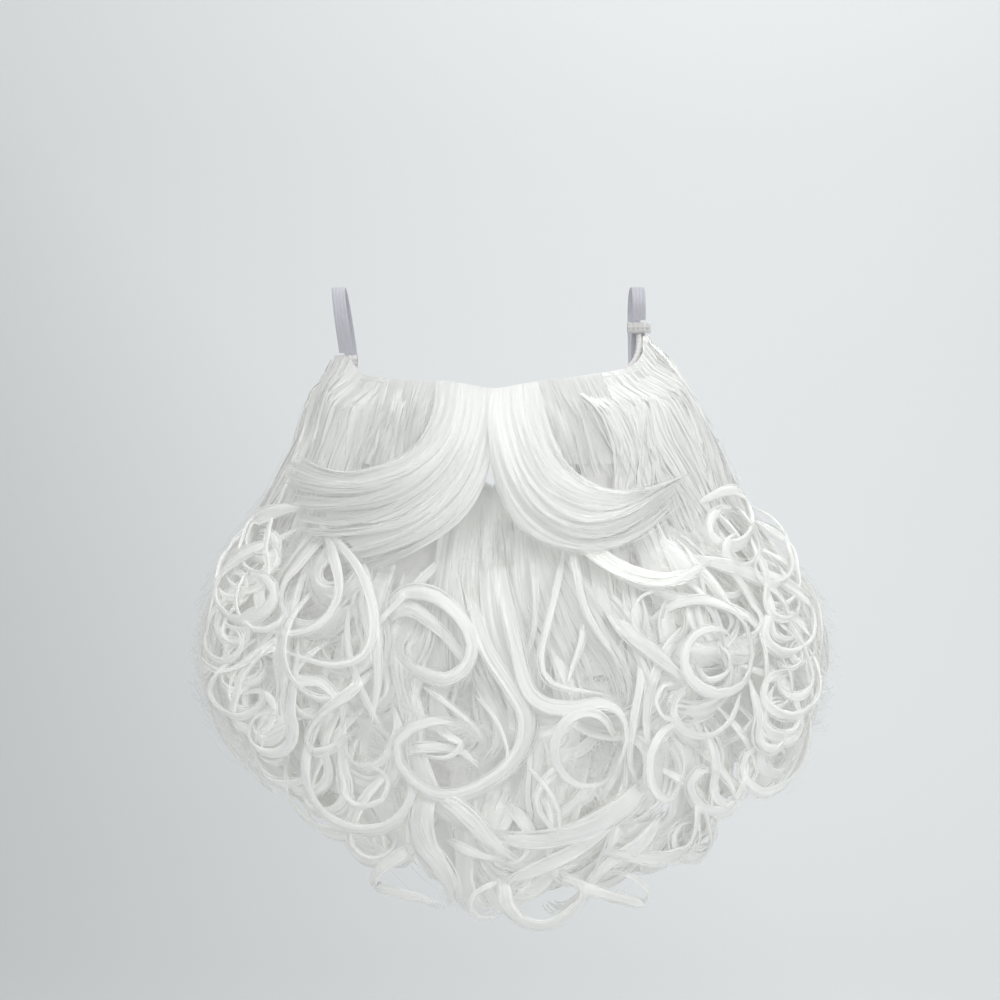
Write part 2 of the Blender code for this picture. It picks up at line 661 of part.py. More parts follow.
def make_tab(name, side):
    """The rolled end of the fabric in which the elastic is sewn."""
    centre = tab_centre(side)
    rings = []
    for section in TAB_SECTIONS:
        half = TAB_DIAMETER / 2 * section.size
        ring = []
        for step in range(TAB_SIDES):
            angle = 2 * math.pi * step / TAB_SIDES
            ring.append(centre + Vector((
                section.along * TAB_LENGTH,
                math.cos(angle) * half * TAB_DEPTH_SHARE,
                math.sin(angle) * half,
            )))
        rings.append(ring)
    return tube(name, rings)


def catmull(points, steps):
    """Points on a smooth curve through the given ones."""
    result = []
    for index in range(len(points) - 1):
        before = points[max(index - 1, 0)]
        low = points[index]
        high = points[index + 1]
        after = points[min(index + 2, len(points) - 1)]
        for step in range(steps):
            t = step / steps
            result.append(hermite(low, high, (high - before) / 2, (after - low) / 2, t))
    result.append(points[-1])
    return result


def make_ear_loop(name, side, lean):
    """A flat band round the ear, from the top of the tab to its back."""
    tab = tab_centre(side)
    seat = GAP + ELASTIC_THICKNESS / 2
    base = tab.z + TAB_DIAMETER / 2
    rise = -ELASTIC_THICKNESS / 2 - base
    fall = base + LOOP_BOTTOM
    route = [Vector((tab.x, tab.y, base + GAP))]
    for point in LOOP_ROUTE:
        z = base + point.height * (rise if point.height > 0 else fall)
        route.append(Vector((tab.x + lean * max(point.height, 0), point.back, z)))
    back = tab.y + TAB_DIAMETER / 2 * TAB_DEPTH_SHARE + seat
    route.append(Vector((tab.x, back + LOOP_END_BOW, tab.z - TAB_DIAMETER / 2)))
    route.append(Vector((tab.x, back, tab.z)))
    line = catmull(route, LOOP_STEPS)
    rings = []
    last = len(line) - 1
    for index, place in enumerate(line):
        ahead = line[min(index + 1, last)] - line[max(index - 1, 0)]
        outward = Vector((0, ahead.z, -ahead.y)).normalized() * ELASTIC_THICKNESS / 2
        across = Vector((ELASTIC_WIDTH / 2, 0, 0))
        rings.append([
            place - across - outward,
            place + across - outward,
            place + across + outward,
            place - across + outward,
        ])
    return tube(name, rings)


def make_material(name, colour, roughness):
    """A plain matt material."""
    material = bpy.data.materials.new(name)
    material.use_nodes = True
    shader = material.node_tree.nodes["Principled BSDF"]
    shader.inputs["Base Color"].default_value = (*colour, 1)
    shader.inputs["Roughness"].default_value = roughness
    shader.inputs["Metallic"].default_value = 0
    return material


def finish(obj, material):
    """Give a solid its material, with its sharp edges shaded as creases."""
    obj.data.materials.clear()
    obj.data.materials.append(material)
    obj.data.shade_smooth()
    obj.data.set_sharp_from_angle(angle=math.radians(SHARP_ANGLE))


def main():
    """Build every piece of the beard."""
    for obj in list(bpy.data.objects):
        bpy.data.objects.remove(obj)

    hair_white = make_material("hair_white", HAIR_COLOUR, HAIR_ROUGHNESS)
    backing_cloth = make_material("backing_cloth", CLOTH_COLOUR, CLOTH_ROUGHNESS)
    elastic_white = make_material("elastic_white", ELASTIC_COLOUR, ELASTIC_ROUGHNESS)

    # Each group keeps clear of the ones before it
    groups = (
        ("moustache_right", MOUSTACHE_PAD, 1, MOUSTACHE_RIGHT, ()),
        ("moustache_left", MOUSTACHE_PAD, -1, MOUSTACHE_LEFT, ()),
        ("chin_hair", CHIN_PAD, 1, CHIN, ()),
        ("side_hair_left", SIDE_PAD, -1, SIDE_LEFT, rear_locks(-1)),
        ("side_hair_right", SIDE_PAD, 1, SIDE_RIGHT, rear_locks(1)),
    )
    head = head_space("head_space")
    fronts = []
    for name, *parts in groups:
        hair = fused_hair(name, *parts, grow=0.0)
        combine(hair, head, "DIFFERENCE", keep_other=True)
        for front in fronts:
            combine(hair, front, "DIFFERENCE", keep_other=True)
        keep_main_body(hair)
        finish(hair, hair_white)
        fronts.append(fused_hair(f"{name}_clearance", *parts, grow=GAP))
    for obj in [head, *fronts]:
        bpy.data.objects.remove(obj)

    finish(make_backing(), backing_cloth)
    for side, word, lean in ((-1, "left", LOOP_LEAN_LEFT), (1, "right", LOOP_LEAN_RIGHT)):
        finish(make_tab(f"loop_tab_{word}", side), backing_cloth)
        finish(make_ear_loop(f"ear_loop_{word}", side, lean), elastic_white)


main()
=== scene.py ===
"""The looks of a curly white fake beard with a moustache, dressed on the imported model.

Metres, +Z up. The wearer faces -Y, and left is -X, as seen from in front. Paths of locks are
given as they show in the front view, on a picture 1000 units wide and high.
"""

import math
from collections import namedtuple

import bpy
import numpy as np
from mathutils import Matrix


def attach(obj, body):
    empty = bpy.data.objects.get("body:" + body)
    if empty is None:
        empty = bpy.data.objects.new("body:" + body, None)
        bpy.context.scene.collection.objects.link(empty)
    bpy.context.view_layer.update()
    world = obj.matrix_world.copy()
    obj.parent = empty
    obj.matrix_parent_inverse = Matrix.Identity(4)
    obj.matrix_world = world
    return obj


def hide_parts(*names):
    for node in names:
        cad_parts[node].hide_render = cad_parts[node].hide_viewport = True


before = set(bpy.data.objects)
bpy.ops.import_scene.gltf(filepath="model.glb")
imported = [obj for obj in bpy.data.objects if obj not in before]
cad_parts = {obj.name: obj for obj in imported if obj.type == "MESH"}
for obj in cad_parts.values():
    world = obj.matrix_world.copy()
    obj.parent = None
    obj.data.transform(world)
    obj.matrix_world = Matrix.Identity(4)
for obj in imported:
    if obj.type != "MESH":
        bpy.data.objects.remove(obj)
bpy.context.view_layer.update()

# Camera of the front view
CAMERA = np.array([0.004, -1.005, -0.113])
FOCAL = 1915
MIDDLE = 500
SENSOR = 36.0
UNIT = 0.00046             # metres a picture unit at the hair, roughly
SPOT_ROUNDS = 8            # rounds in which a place in the picture is found on the hair

# Sizes shared with the solids
GAP = 0.0003
FABRIC = 0.0015
PAD_CLEARANCE = 0.0016
BACKING_BACK_ANGLE = 90
BACKING_COLUMNS = 24
ARC_RADIUS = 0.130
ELASTIC_WIDTH = 0.007
ELASTIC_THICKNESS = 0.0012
LOOP_BOTTOM = 0.049
TAB_LENGTH = 0.012
TAB_DIAMETER = 0.0068
TAB_DEPTH_SHARE = 0.85
TAB_ANGLE = 88
TAB_TURNS = 1.7
TAB_FOLD = 0.0008
TAB_WOUND = 0.0020         # how much the roll of the tab winds inwards
RIBS = 4
STITCH = 0.0012

# Where the hair lies, in degrees round from the front and metres down
CHIN_ANGLES = (-26, 26)
SIDE_ANGLES = (22, 104)
SIDE_BOTTOM = 0.245
REAR_ANGLE = 82            # the hair reaches this far round at the top edge
REAR_SPREAD = 22           # and this much further round at the bottom
REAR_SPREAD_TOP = 0.05
REAR_SPREAD_HEIGHT = 0.15
REAR_EDGE = 88
REAR_FILL = 15             # turn of the hair that closes the rear edge, from top to bottom
CORNER_RISE = 0.014        # the hair's top at the left corner lies this much higher
CORNER_TOP = 0.0430        # but no higher than this

# Fibres and locks
STREAK_LENGTH = 0.020      # the tone of a fibre changes over about this length
STREAK_WIDTH = 0.00055     # and over about this width
STREAKS = 900              # the tones of different fibres start this far apart
PHASES = 6.3               # a whole turn, for waves that start anywhere
ROOT_RISE = 0.0014         # the hair starts this far above the edge of the backing
WIDER = 1.25               # locks are drawn this much wider, because their edges are loose
LOCK_UNIT = 0.00047        # metres a picture unit at the front of the curls
LOCK_STEP = 0.0034         # length of one section of a fibre along a lock
LOCK_FLAT = 0.30           # thickness of a lock against its width
LOOSE_FLAT = 0.22          # the same for the curls that fill the spaces
ROOT_WIDTH = 0.5           # width of a lock at its root against its middle
TIP_WIDTH = 0.42           # and at its tip
CORE = 0.84                # size of the closed core against its lock
CORE_SIDES = 8
CORE_END = 0.93
PARTING = 0.30             # how far the clumps of a lock part
STRAY = 0.16               # share of a lock's fibres that stand off it
STRAY_WIDTH = 0.00026
LOOSE_WIDTH = 0.00024      # a single fibre that stands off a sheet
LOOSE_SHARE = 12           # there is one for this many fibres
LOCK_ROOT = 0.016          # side locks start this deep in the hair
CURL_ROOT = 0.004          # and curls placed in the picture this deep
FRIZZ_WIDTH = (0.00018, 0.00030)
FRIZZ_REACH = (0.03, 0.07)
FRIZZ_RADIUS = (0.010, 0.035)

# How the strands of a sheet lie: the step to the strand beside, their wander in metres and in
# waves, the turn of their flat in degrees, width at the root, thinning towards the tip, and
# how far single fibres sway and stand off
Sheet = namedtuple("Sheet", "beside wander waves turn root thinning sway stand")
SWEPT = Sheet(0.004, 0.00035, 1.6, 8, 0.45, 0.7, 0.0035, 0.0016)
FALLEN = Sheet(0.2, 0.0004, 1.5, 7, 0.5, 0.6, 0.0050, 0.0025)

# The face under the backing: down, half width, front
FACE = np.array([
    (-0.020, 0.0760, 0.086),
    (0.040, 0.0760, 0.094),
    (0.060, 0.0750, 0.098),
    (0.095, 0.0700, 0.099),
    (0.130, 0.0610, 0.098),
    (0.146, 0.0545, 0.092),
    (0.160, 0.0440, 0.078),
])
# Edges of the backing: angle round from the front, top, bottom
EDGES = np.array([
    (-90, 0.043, 0.112),
    (-65, 0.050, 0.130),
    (-35, 0.056, 0.150),
    (0, 0.061, 0.158),
    (35, 0.054, 0.150),
    (65, 0.045, 0.130),
    (90, 0.025, 0.112),
])
# Outer form of the hair: down, half width left and right, front, place of the widest line
HAIR = np.array([
    (0.015, 0.082, 0.084, 0.092, 0.000),
    (0.040, 0.088, 0.094, 0.101, 0.000),
    (0.062, 0.097, 0.108, 0.107, 0.002),
    (0.088, 0.106, 0.122, 0.110, 0.008),
    (0.113, 0.120, 0.132, 0.116, 0.015),
    (0.140, 0.137, 0.151, 0.126, 0.028),
    (0.165, 0.147, 0.167, 0.134, 0.038),
    (0.190, 0.151, 0.171, 0.140, 0.045),
    (0.215, 0.146, 0.168, 0.143, 0.050),
    (0.240, 0.130, 0.158, 0.143, 0.052),
    (0.266, 0.108, 0.138, 0.138, 0.055),
    (0.290, 0.084, 0.104, 0.130, 0.060),
    (0.310, 0.060, 0.080, 0.122, 0.065),
])
# Inner side of the hanging hair: down, half width, front, place of the widest line
INNER = np.array([
    (0.146, 0.0563, 0.0938, 0.000),
    (0.170, 0.074, 0.092, 0.012),
    (0.200, 0.092, 0.094, 0.030),
    (0.230, 0.092, 0.096, 0.040),
    (0.260, 0.078, 0.098, 0.050),
    (0.310, 0.040, 0.100, 0.065),
])

# Sweeps of the moustache: paths of guide strands across it, with how far each stands out in
# millimetres. Points are (u, v, lift).
SWEEP_LEFT = (
    ((497, 388, -5), (496, 416, 3), (494, 443, 8), (490, 468, 11), (483, 494, 13), (468, 519, 14),
     (444, 541, 13), (414, 560, 10), (384, 574, 5), (360, 581, 1)),
    ((484, 387, -5), (481, 421, 4), (473, 452, 11), (459, 480, 15), (437, 506, 16), (409, 526, 15),
     (378, 538, 12), (344, 545, 8), (312, 546, 3)),
    ((468, 384, -5), (465, 416, 4), (454, 446, 11), (434, 471, 15), (405, 491, 16), (372, 502, 15),
     (340, 505, 12), (312, 503, 8), (286, 497, 4)),
    ((454, 382, -5), (448, 413, 3), (431, 443, 9), (408, 463, 13), (380, 475, 14), (352, 481, 13),
     (328, 480, 11), (306, 474, 8), (286, 465, 4)),
    ((436, 381, -5), (434, 408, 1), (422, 436, 6), (400, 457, 8), (374, 467, 10), (350, 471, 10),
     (332, 469, 9), (314, 463, 8), (300, 455, 5)),
)
SWEEP_RIGHT = (
    ((491, 388, -5), (487, 415, 3), (489, 443, 9), (493, 470, 13), (500, 496, 15), (514, 521, 16),
     (542, 541, 16), (578, 550, 14), (612, 547, 11), (642, 534, 8), (670, 512, 4)),
    ((504, 387, -5), (503, 416, 4), (511, 448, 12), (525, 478, 16), (547, 503, 18), (578, 520, 17),
     (607, 522, 15), (634, 513, 11), (660, 496, 7), (682, 480, 3)),
    ((520, 384, -5), (523, 415, 4), (534, 446, 11), (551, 474, 15), (576, 491, 17), (606, 499, 15),
     (634, 497, 12), (660, 488, 8), (686, 476, 4)),
    ((538, 382, -5), (544, 410, 3), (556, 440, 8), (571, 465, 11), (593, 482, 13), (618, 490, 12),
     (645, 488, 10), (670, 481, 7), (696, 472, 4)),
)
# The second, looser sweep that shows under the moustache on the right
SWEEP_UNDER = (
    ((560, 530, 4), (585, 556, 9), (612, 574, 12), (642, 585, 13), (672, 586, 11), (700, 578, 8)),
    ((585, 530, 3), (608, 551, 8), (634, 566, 11), (662, 572, 11), (690, 566, 8), (712, 552, 5)),
)
# Hair that falls from the top edge behind the outer side of the moustache
BEHIND_LEFT = (
    ((456, 381, -6), (450, 410, -3), (444, 440, -1), (438, 475, 0)),
    ((432, 380, -6), (424, 410, -3), (415, 440, -1), (406, 478, 0)),
    ((404, 380, -6), (394, 410, -2), (383, 440, 0), (372, 478, 1)),
    ((384, 379, -6), (372, 410, -2), (358, 440, 0), (346, 478, 1)),
)
BEHIND_RIGHT = (
    ((528, 382, -6), (538, 410, -3), (546, 440, -1), (554, 478, 0)),
    ((552, 379, -6), (564, 410, -3), (576, 440, -1), (588, 478, 0)),
    ((578, 376, -6), (592, 410, -2), (606, 440, 0), (620, 478, 1)),
    ((600, 373, -6), (616, 408, -2), (632, 440, 0), (648, 476, 1)),
)
# Straight hair that fans out over the chin
FAN_CHIN = (
    ((440, 500, -9), (438, 540, -4), (432, 575, -1), (420, 612, 1), (408, 650, 1), (396, 690, 0)),
    ((468, 492, -8), (462, 540, -3), (458, 580, 1), (458, 620, 3), (464, 660, 3), (478, 700, 1)),
    ((485, 489, -7), (482, 540, -1), (481, 585, 2), (484, 630, 4), (494, 672, 4), (510, 712, 2)),
    ((500, 488, -7), (502, 540, -1), (504, 585, 2), (508, 630, 4), (518, 672, 4), (530, 712, 2)),
    ((515, 489, -7), (522, 540, -1), (530, 585, 2), (538, 630, 3), (546, 675, 2), (555, 712, 0)),
    ((530, 492, -8), (546, 545, -3), (564, 590, 1), (580, 632, 2), (594, 672, 1), (606, 706, 0)),
    ((552, 500, -9), (580, 545, -4), (604, 585, -1), (628, 622, 0), (646, 660, 0), (658, 700, -1)),
)
# Fine hair at the lower end of the mouth opening
FAN_MOUTH = (
    ((480, 478, -11), (481, 500, -7), (480, 530, -1), (480, 570, 2)),
    ((494, 484, -11), (495, 504, -7), (496, 534, -1), (497, 570, 2)),
    ((510, 478, -11), (511, 500, -7), (513, 530, -1), (516, 570, 2)),
)
# The outer edge of the curls as it shows in the picture: v, u
RIM_LEFT = np.array([
    (535, 240), (560, 225), (590, 215), (650, 205), (690, 210), (720, 236), (750, 256), (785, 275),
    (815, 302), (838, 338),
])
RIM_RIGHT = np.array([
    (520, 748), (545, 775), (575, 806), (605, 820), (645, 822), (690, 815), (745, 800), (785, 768),
    (810, 740), (850, 700),
])

# Curled locks: width, lift near the root and at the tip in millimetres, roll on edge in
# degrees, and path
CURLS_CHIN = (
    (15, 10, 12, 28, ((385, 618), (392, 602), (409, 592), (436, 597), (460, 618), (472, 645),
                      (465, 668), (444, 680), (418, 671), (400, 656), (394, 646))),
    (11, 7, 7, 20, ((386, 628), (396, 612), (414, 609), (436, 626), (455, 647), (470, 669), (462, 690))),
    (8, 6, 3, 10, ((442, 556), (420, 582), (396, 604), (378, 624), (368, 645))),
    (13, 9, 11, 18, ((462, 540), (471, 585), (477, 618), (488, 652), (508, 685), (524, 716),
                     (520, 748), (500, 773), (470, 791), (440, 796), (415, 784), (398, 763),
                     (396, 742), (412, 727), (438, 720), (466, 726), (486, 742))),
    (22, 5, 4, 8, ((486, 530), (488, 580), (496, 630), (514, 676), (528, 712), (524, 745),
                   (505, 769), (478, 790), (452, 800))),
    (16, 3, 2, 8, ((450, 555), (458, 605), (470, 650), (487, 690), (500, 722), (497, 748), (478, 770))),
    (5, 11, 8, 0, ((418, 684), (436, 696), (458, 713), (477, 730), (488, 752))),
    (9, 6, 4, 20, ((398, 756), (416, 748), (440, 747), (464, 752), (482, 768))),
    (7, 7, 8, 30, ((430, 722), (448, 736), (462, 744), (448, 757), (425, 756))),
    (14, 10, 8, 22, ((498, 540), (504, 590), (516, 645), (527, 688), (546, 705), (575, 708),
                     (601, 703), (621, 713), (627, 737), (618, 766), (602, 790))),
    (9, 13, 13, 42, ((618, 752), (613, 733), (602, 717), (585, 712), (566, 721), (554, 743),
                     (557, 767), (575, 785), (600, 785), (617, 768))),
    (7, 11, 8, 12, ((566, 540), (556, 590), (547, 628), (541, 658), (548, 680), (568, 689),
                    (592, 692), (614, 697))),
    (9, 10, 8, 6, ((566, 530), (576, 570), (584, 605), (598, 632), (613, 653), (621, 668))),
    (6, 6, 3, 6, ((586, 606), (582, 640), (573, 666), (566, 692))),
    (8, 4, 3, 6, ((532, 540), (536, 590), (534, 630), (524, 662), (520, 690))),
    (10, 3, 1, 8, ((592, 560), (604, 605), (622, 650), (630, 690), (628, 720))),
    (24, 9, 8, 12, ((436, 782), (421, 812), (423, 842), (440, 866), (452, 888), (451, 906))),
    (12, 12, 9, 10, ((428, 788), (450, 802), (474, 822), (496, 846), (519, 861))),
    (12, 7, 8, 22, ((428, 838), (398, 856), (376, 872), (375, 886), (398, 893), (424, 899), (446, 909))),
    (6, 9, 7, 35, ((566, 762), (548, 775), (537, 794), (541, 813), (552, 829), (562, 842))),
    (4, 10, 8, 40, ((560, 772), (543, 786), (535, 804), (545, 824))),
    (22, 7, 7, 10, ((656, 768), (636, 795), (608, 818), (575, 834), (535, 842), (503, 838), (486, 833))),
    (8, 9, 7, 12, ((446, 840), (464, 849), (486, 857), (506, 858))),
    (13, 9, 10, 30, ((494, 862), (503, 882), (507, 904), (522, 921), (546, 926), (569, 914),
                     (583, 897), (580, 883), (562, 878))),
    (4, 9, 8, 35, ((508, 880), (489, 885), (474, 894), (471, 909), (485, 919), (500, 914), (507, 899))),
    (10, 9, 9, 18, ((552, 864), (575, 883), (600, 893), (625, 900), (643, 904), (648, 890),
                    (630, 876), (611, 872))),
    (14, 6, 5, 10, ((628, 765), (620, 800), (601, 830), (575, 852), (545, 866), (512, 880), (498, 894))),
    (12, 6, 4, 15, ((662, 815), (642, 842), (612, 861), (592, 880), (584, 904))),
    (18, 2, 1, 12, ((420, 690), (414, 725), (420, 770), (440, 810), (470, 830))),
    (16, 1, 0, 12, ((560, 700), (540, 740), (530, 780), (520, 815), (530, 850))),
    (16, 1, 0, 12, ((600, 780), (575, 805), (548, 822), (520, 828))),
    (11, 4, 4, 25, ((500, 800), (520, 815), (532, 838), (522, 860), (500, 866))),
    (3, 12, 10, 20, ((470, 690), (496, 720), (508, 756), (498, 790))),
    (3, 12, 12, 20, ((520, 760), (548, 790), (560, 820), (552, 850))),
)
CURLS_LEFT = (
    (8, 11, 8, 14, ((312, 515), (336, 540), (358, 567), (371, 600), (373, 632), (362, 656),
                    (335, 665), (300, 657), (270, 643))),
    (9, 9, 7, 16, ((318, 520), (333, 552), (340, 585), (331, 612), (311, 629), (287, 634), (266, 632))),
    (12, 7, 9, 30, ((300, 528), (272, 542), (240, 556), (219, 580), (219, 606), (240, 621),
                    (264, 613), (275, 592), (262, 575), (243, 575))),
    (9, 9, 5, 10, ((352, 545), (366, 578), (375, 620), (378, 662), (376, 700), (368, 735))),
    (11, 10, 10, 26, ((376, 668), (352, 690), (324, 712), (307, 736), (314, 752), (334, 746), (349, 733))),
    (13, 8, 9, 22, ((330, 706), (310, 742), (307, 782), (323, 812), (354, 828), (388, 825),
                    (408, 805), (412, 784), (402, 764))),
    (11, 4, 6, 30, ((268, 630), (238, 652), (213, 680), (215, 703), (239, 717), (260, 705), (262, 684))),
    (12, 4, 5, 28, ((286, 690), (260, 722), (256, 754), (273, 780), (299, 782), (314, 765))),
    (10, 3, 3, 24, ((290, 740), (286, 785), (304, 817), (338, 836), (366, 832), (378, 815))),
    (12, 6, 7, 26, ((312, 590), (286, 630), (290, 676), (320, 700), (350, 690), (357, 665))),
    (9, 8, 8, 26, ((282, 668), (298, 680), (322, 684), (343, 708), (340, 730))),
    (10, 1, 2, 20, ((262, 515), (232, 545), (216, 590), (208, 632), (216, 664), (236, 672))),
    (8, 7, 8, 30, ((262, 560), (240, 585), (238, 612), (256, 630), (280, 622), (290, 598))),
    (3, 6, 6, 20, ((272, 640), (246, 660), (226, 670), (208, 664), (195, 648))),
    (2, 7, 7, 20, ((262, 655), (236, 668), (214, 672), (196, 660))),
    (10, 5, 4, 20, ((350, 600), (346, 640), (356, 680), (372, 712), (390, 740))),
    (9, 4, 5, 30, ((330, 640), (304, 660), (290, 690), (302, 715), (328, 716))),
    (8, 5, 6, 30, ((390, 700), (398, 730), (384, 760), (356, 766), (344, 744), (358, 728))),
    (7, 6, 6, 30, ((350, 760), (340, 786), (356, 806), (382, 800), (388, 778), (372, 766))),
    (9, 3, 3, 20, ((232, 600), (222, 636), (236, 664), (264, 668))),
)
CURLS_RIGHT = (
    (13, 11, 8, 8, ((598, 604), (622, 627), (646, 647), (670, 667), (690, 688))),
    (12, 10, 8, 14, ((596, 552), (620, 572), (650, 584), (684, 578), (712, 560))),
    (3, 12, 12, 30, ((662, 588), (642, 596), (632, 612), (636, 630), (650, 640))),
    (11, 9, 12, 30, ((640, 634), (664, 611), (700, 600), (737, 614), (752, 648), (744, 682),
                     (717, 693), (693, 680), (685, 656), (697, 634), (722, 630), (738, 651))),
    (3, 13, 13, 30, ((686, 684), (664, 685), (656, 702), (667, 720), (685, 716), (690, 700))),
    (9, 9, 10, 30, ((742, 690), (730, 722), (706, 737), (682, 729), (674, 707), (686, 690))),
    (8, 10, 11, 30, ((690, 720), (664, 730), (650, 758), (652, 788), (668, 801), (682, 779),
                     (684, 750), (671, 735))),
    (12, 6, 5, 14, ((686, 556), (722, 564), (753, 575), (778, 593), (790, 622), (785, 652))),
    (13, 5, 7, 30, ((735, 562), (780, 580), (811, 606), (812, 640), (786, 653), (765, 638),
                    (769, 616), (790, 611))),
    (13, 5, 7, 30, ((790, 630), (817, 662), (814, 700), (789, 716), (765, 702), (768, 679), (789, 672))),
    (13, 4, 6, 30, ((800, 690), (810, 732), (793, 776), (763, 793), (742, 773), (750, 751), (771, 748))),
    (12, 5, 6, 28, ((744, 730), (747, 775), (729, 808), (703, 808), (690, 786), (703, 769), (721, 775))),
    (13, 7, 6, 20, ((696, 780), (698, 818), (689, 845), (666, 858), (636, 858), (603, 850))),
    (9, 6, 4, 10, ((640, 630), (641, 675), (634, 718), (629, 760), (640, 790))),
    (10, 5, 4, 14, ((690, 620), (668, 650), (650, 690), (646, 730), (655, 765))),
    (3, 7, 7, 20, ((690, 800), (700, 830), (692, 856), (672, 866))),
    (12, 4, 4, 16, ((745, 600), (764, 640), (766, 690), (748, 728), (722, 745))),
    (10, 3, 3, 16, ((730, 700), (752, 720), (758, 752), (742, 786), (716, 800))),
    (9, 8, 8, 24, ((705, 640), (726, 650), (728, 672), (708, 680), (697, 664))),
    (8, 5, 5, 24, ((770, 650), (790, 668), (790, 698), (768, 712), (750, 696))),
    (10, 5, 4, 14, ((640, 585), (676, 598), (716, 604), (750, 618), (768, 650))),
    (7, 3, 2, 14, ((752, 545), (790, 565), (816, 598), (822, 636), (818, 668))),
)

# Curls round the side: angle from the front, drop of the centre, radius
REAR = (
    (62, 0.196, 0.015),
    (66, 0.236, 0.014),
    (70, 0.216, 0.019),
    (75, 0.168, 0.015),
    (80, 0.238, 0.015),
    (82, 0.176, 0.018),
    (86, 0.205, 0.017),
    (90, 0.226, 0.020),
    (94, 0.166, 0.015),
    (98, 0.212, 0.015),
    (101, 0.190, 0.017),
    (103, 0.225, 0.014),
)

# Route of the ear elastic in side view: distance behind the ear line, height
LOOP_ROUTE = (
    (-0.0035, 0.50),
    (0.0030, 0.90),
    (0.0140, 1.00),
    (0.0260, 0.86),
    (0.0330, 0.45),
    (0.0320, -0.06),
    (0.0220, -1.00),
    (0.0090, -0.84),
)


# Curves and tables

def hermite(low, high, slope_low, slope_high, t):
    """Value on a cubic between two values with given slopes."""
    return (
        low * (2 * t**3 - 3 * t**2 + 1)
        + slope_low * (t**3 - 2 * t**2 + t)
        + high * (3 * t**2 - 2 * t**3)
        + slope_high * (t**3 - t**2)
    )


def row_at(rows, key):
    """The other columns of a table at values of its first column, on smooth curves."""
    key = np.clip(np.asarray(key, float), rows[0, 0], rows[-1, 0])
    index = np.clip(np.searchsorted(rows[:, 0], key, side="right") - 1, 0, len(rows) - 2)
    low = rows[index]
    high = rows[index + 1]
    before = rows[np.maximum(index - 1, 0)]
    after = rows[np.minimum(index + 2, len(rows) - 1)]
    step = high[..., 0] - low[..., 0]
    t = ((key - low[..., 0]) / step)[..., None]
    slope_low = (high - before)[..., 1:] * (step / (high - before)[..., 0])[..., None]
    slope_high = (after - low)[..., 1:] * (step / (after - low)[..., 0])[..., None]
    return hermite(low[..., 1:], high[..., 1:], slope_low, slope_high, t)


def spline(values, place):
    """Smooth values between the rows of an array, at places counted in rows."""
    last = len(values) - 1
    place = np.clip(place, 0, last)
    index = np.minimum(place.astype(int), last - 1)
    t = (place - index)[..., None]
    low = values[index]
    high = values[index + 1]
    before = values[np.maximum(index - 1, 0)]
    after = values[np.minimum(index + 2, last)]
    return hermite(low, high, (high - before) / 2, (after - low) / 2, t)


def smooth(t):
    """A soft step from 0 to 1."""
    t = np.clip(t, 0, 1)
    return t * t * (3 - 2 * t)


def unit(vectors):
    """Vectors made one long."""
    return vectors / np.maximum(np.linalg.norm(vectors, axis=-1, keepdims=True), 1e-9)


def dot(a, b):
    """Dot product along the last axis, kept as an axis."""
    return np.sum(a * b, axis=-1, keepdims=True)


def even(points, count):
    """Points spaced evenly along a line. The first three columns are places."""
    steps = np.linalg.norm(np.diff(points[:, :3], axis=0), axis=1)
    along = np.concatenate([[0], np.cumsum(steps)])
    places = np.linspace(0, along[-1], count)
    return np.stack([np.interp(places, along, column) for column in points.T], axis=1)


def length_of(points):
    """Length of a line of points."""
    return np.linalg.norm(np.diff(points, axis=0), axis=1).sum()


def ripple(rng, across, along):
    """A soft chance field over two values, from its waves across and along."""
    count = 6
    rates = rng.normal(0, 1, (count, 2)) * 2 * math.pi * np.array([across, along])
    phases = rng.uniform(0, 2 * math.pi, count)

    def height(a, b):
        waves = [np.sin(rate[0] * a + rate[1] * b + begin) for rate, begin in zip(rates, phases)]
        return sum(waves) / math.sqrt(count / 2)

    return height


def phase(rng, count):
    """Where the waves of a number of strands start, a row for each strand."""
    return rng.uniform(0, PHASES, (count, 1))


def streaks(rng, count):
    """Where the tones of a number of fibres start."""
    return rng.uniform(0, STREAKS, count)


# The form of the hair

def face_point(angle, down, out):
    """Places at a distance outside the face."""
    half, front = np.moveaxis(row_at(FACE, down), -1, 0)
    turn = np.radians(angle)
    return np.stack([(half + out) * np.sin(turn), -(front + out) * np.cos(turn), -down], axis=-1)


def hair_point(angle, down, fill):
    """Places between the inner (fill 0) and the outer side (fill 1) of the hair."""
    angle, down, fill = np.broadcast_arrays(
        np.asarray(angle, float), np.asarray(down, float), np.asarray(fill, float))
    turn = np.radians(angle)
    left, right, front, axis = np.moveaxis(row_at(HAIR, down), -1, 0)
    half = np.where(angle > 0, right, left)
    outer = np.stack([half * np.sin(turn), -axis - (front - axis) * np.cos(turn), -down], axis=-1)
    face = face_point(angle, down, FABRIC + PAD_CLEARANCE)
    half, front, axis = np.moveaxis(row_at(INNER, down), -1, 0)
    hang = np.stack([half * np.sin(turn), -axis - (front - axis) * np.cos(turn), -down], axis=-1)
    inner = np.where((down < INNER[0, 0])[..., None], face, hang)
    return inner + (outer - inner) * fill[..., None]


def out_from(place, down):
    """The way out of the hair at places on it."""
    axis = row_at(HAIR, down)[..., 3]
    flat = np.stack([place[..., 0], place[..., 1] + axis * 0.7, np.zeros(place.shape[:-1])], axis=-1)
    return unit(flat)


def rear_limit(down):
    """How far round the side the hair reaches at a height."""
    return REAR_ANGLE + REAR_SPREAD * smooth((down - REAR_SPREAD_TOP) / REAR_SPREAD_HEIGHT)


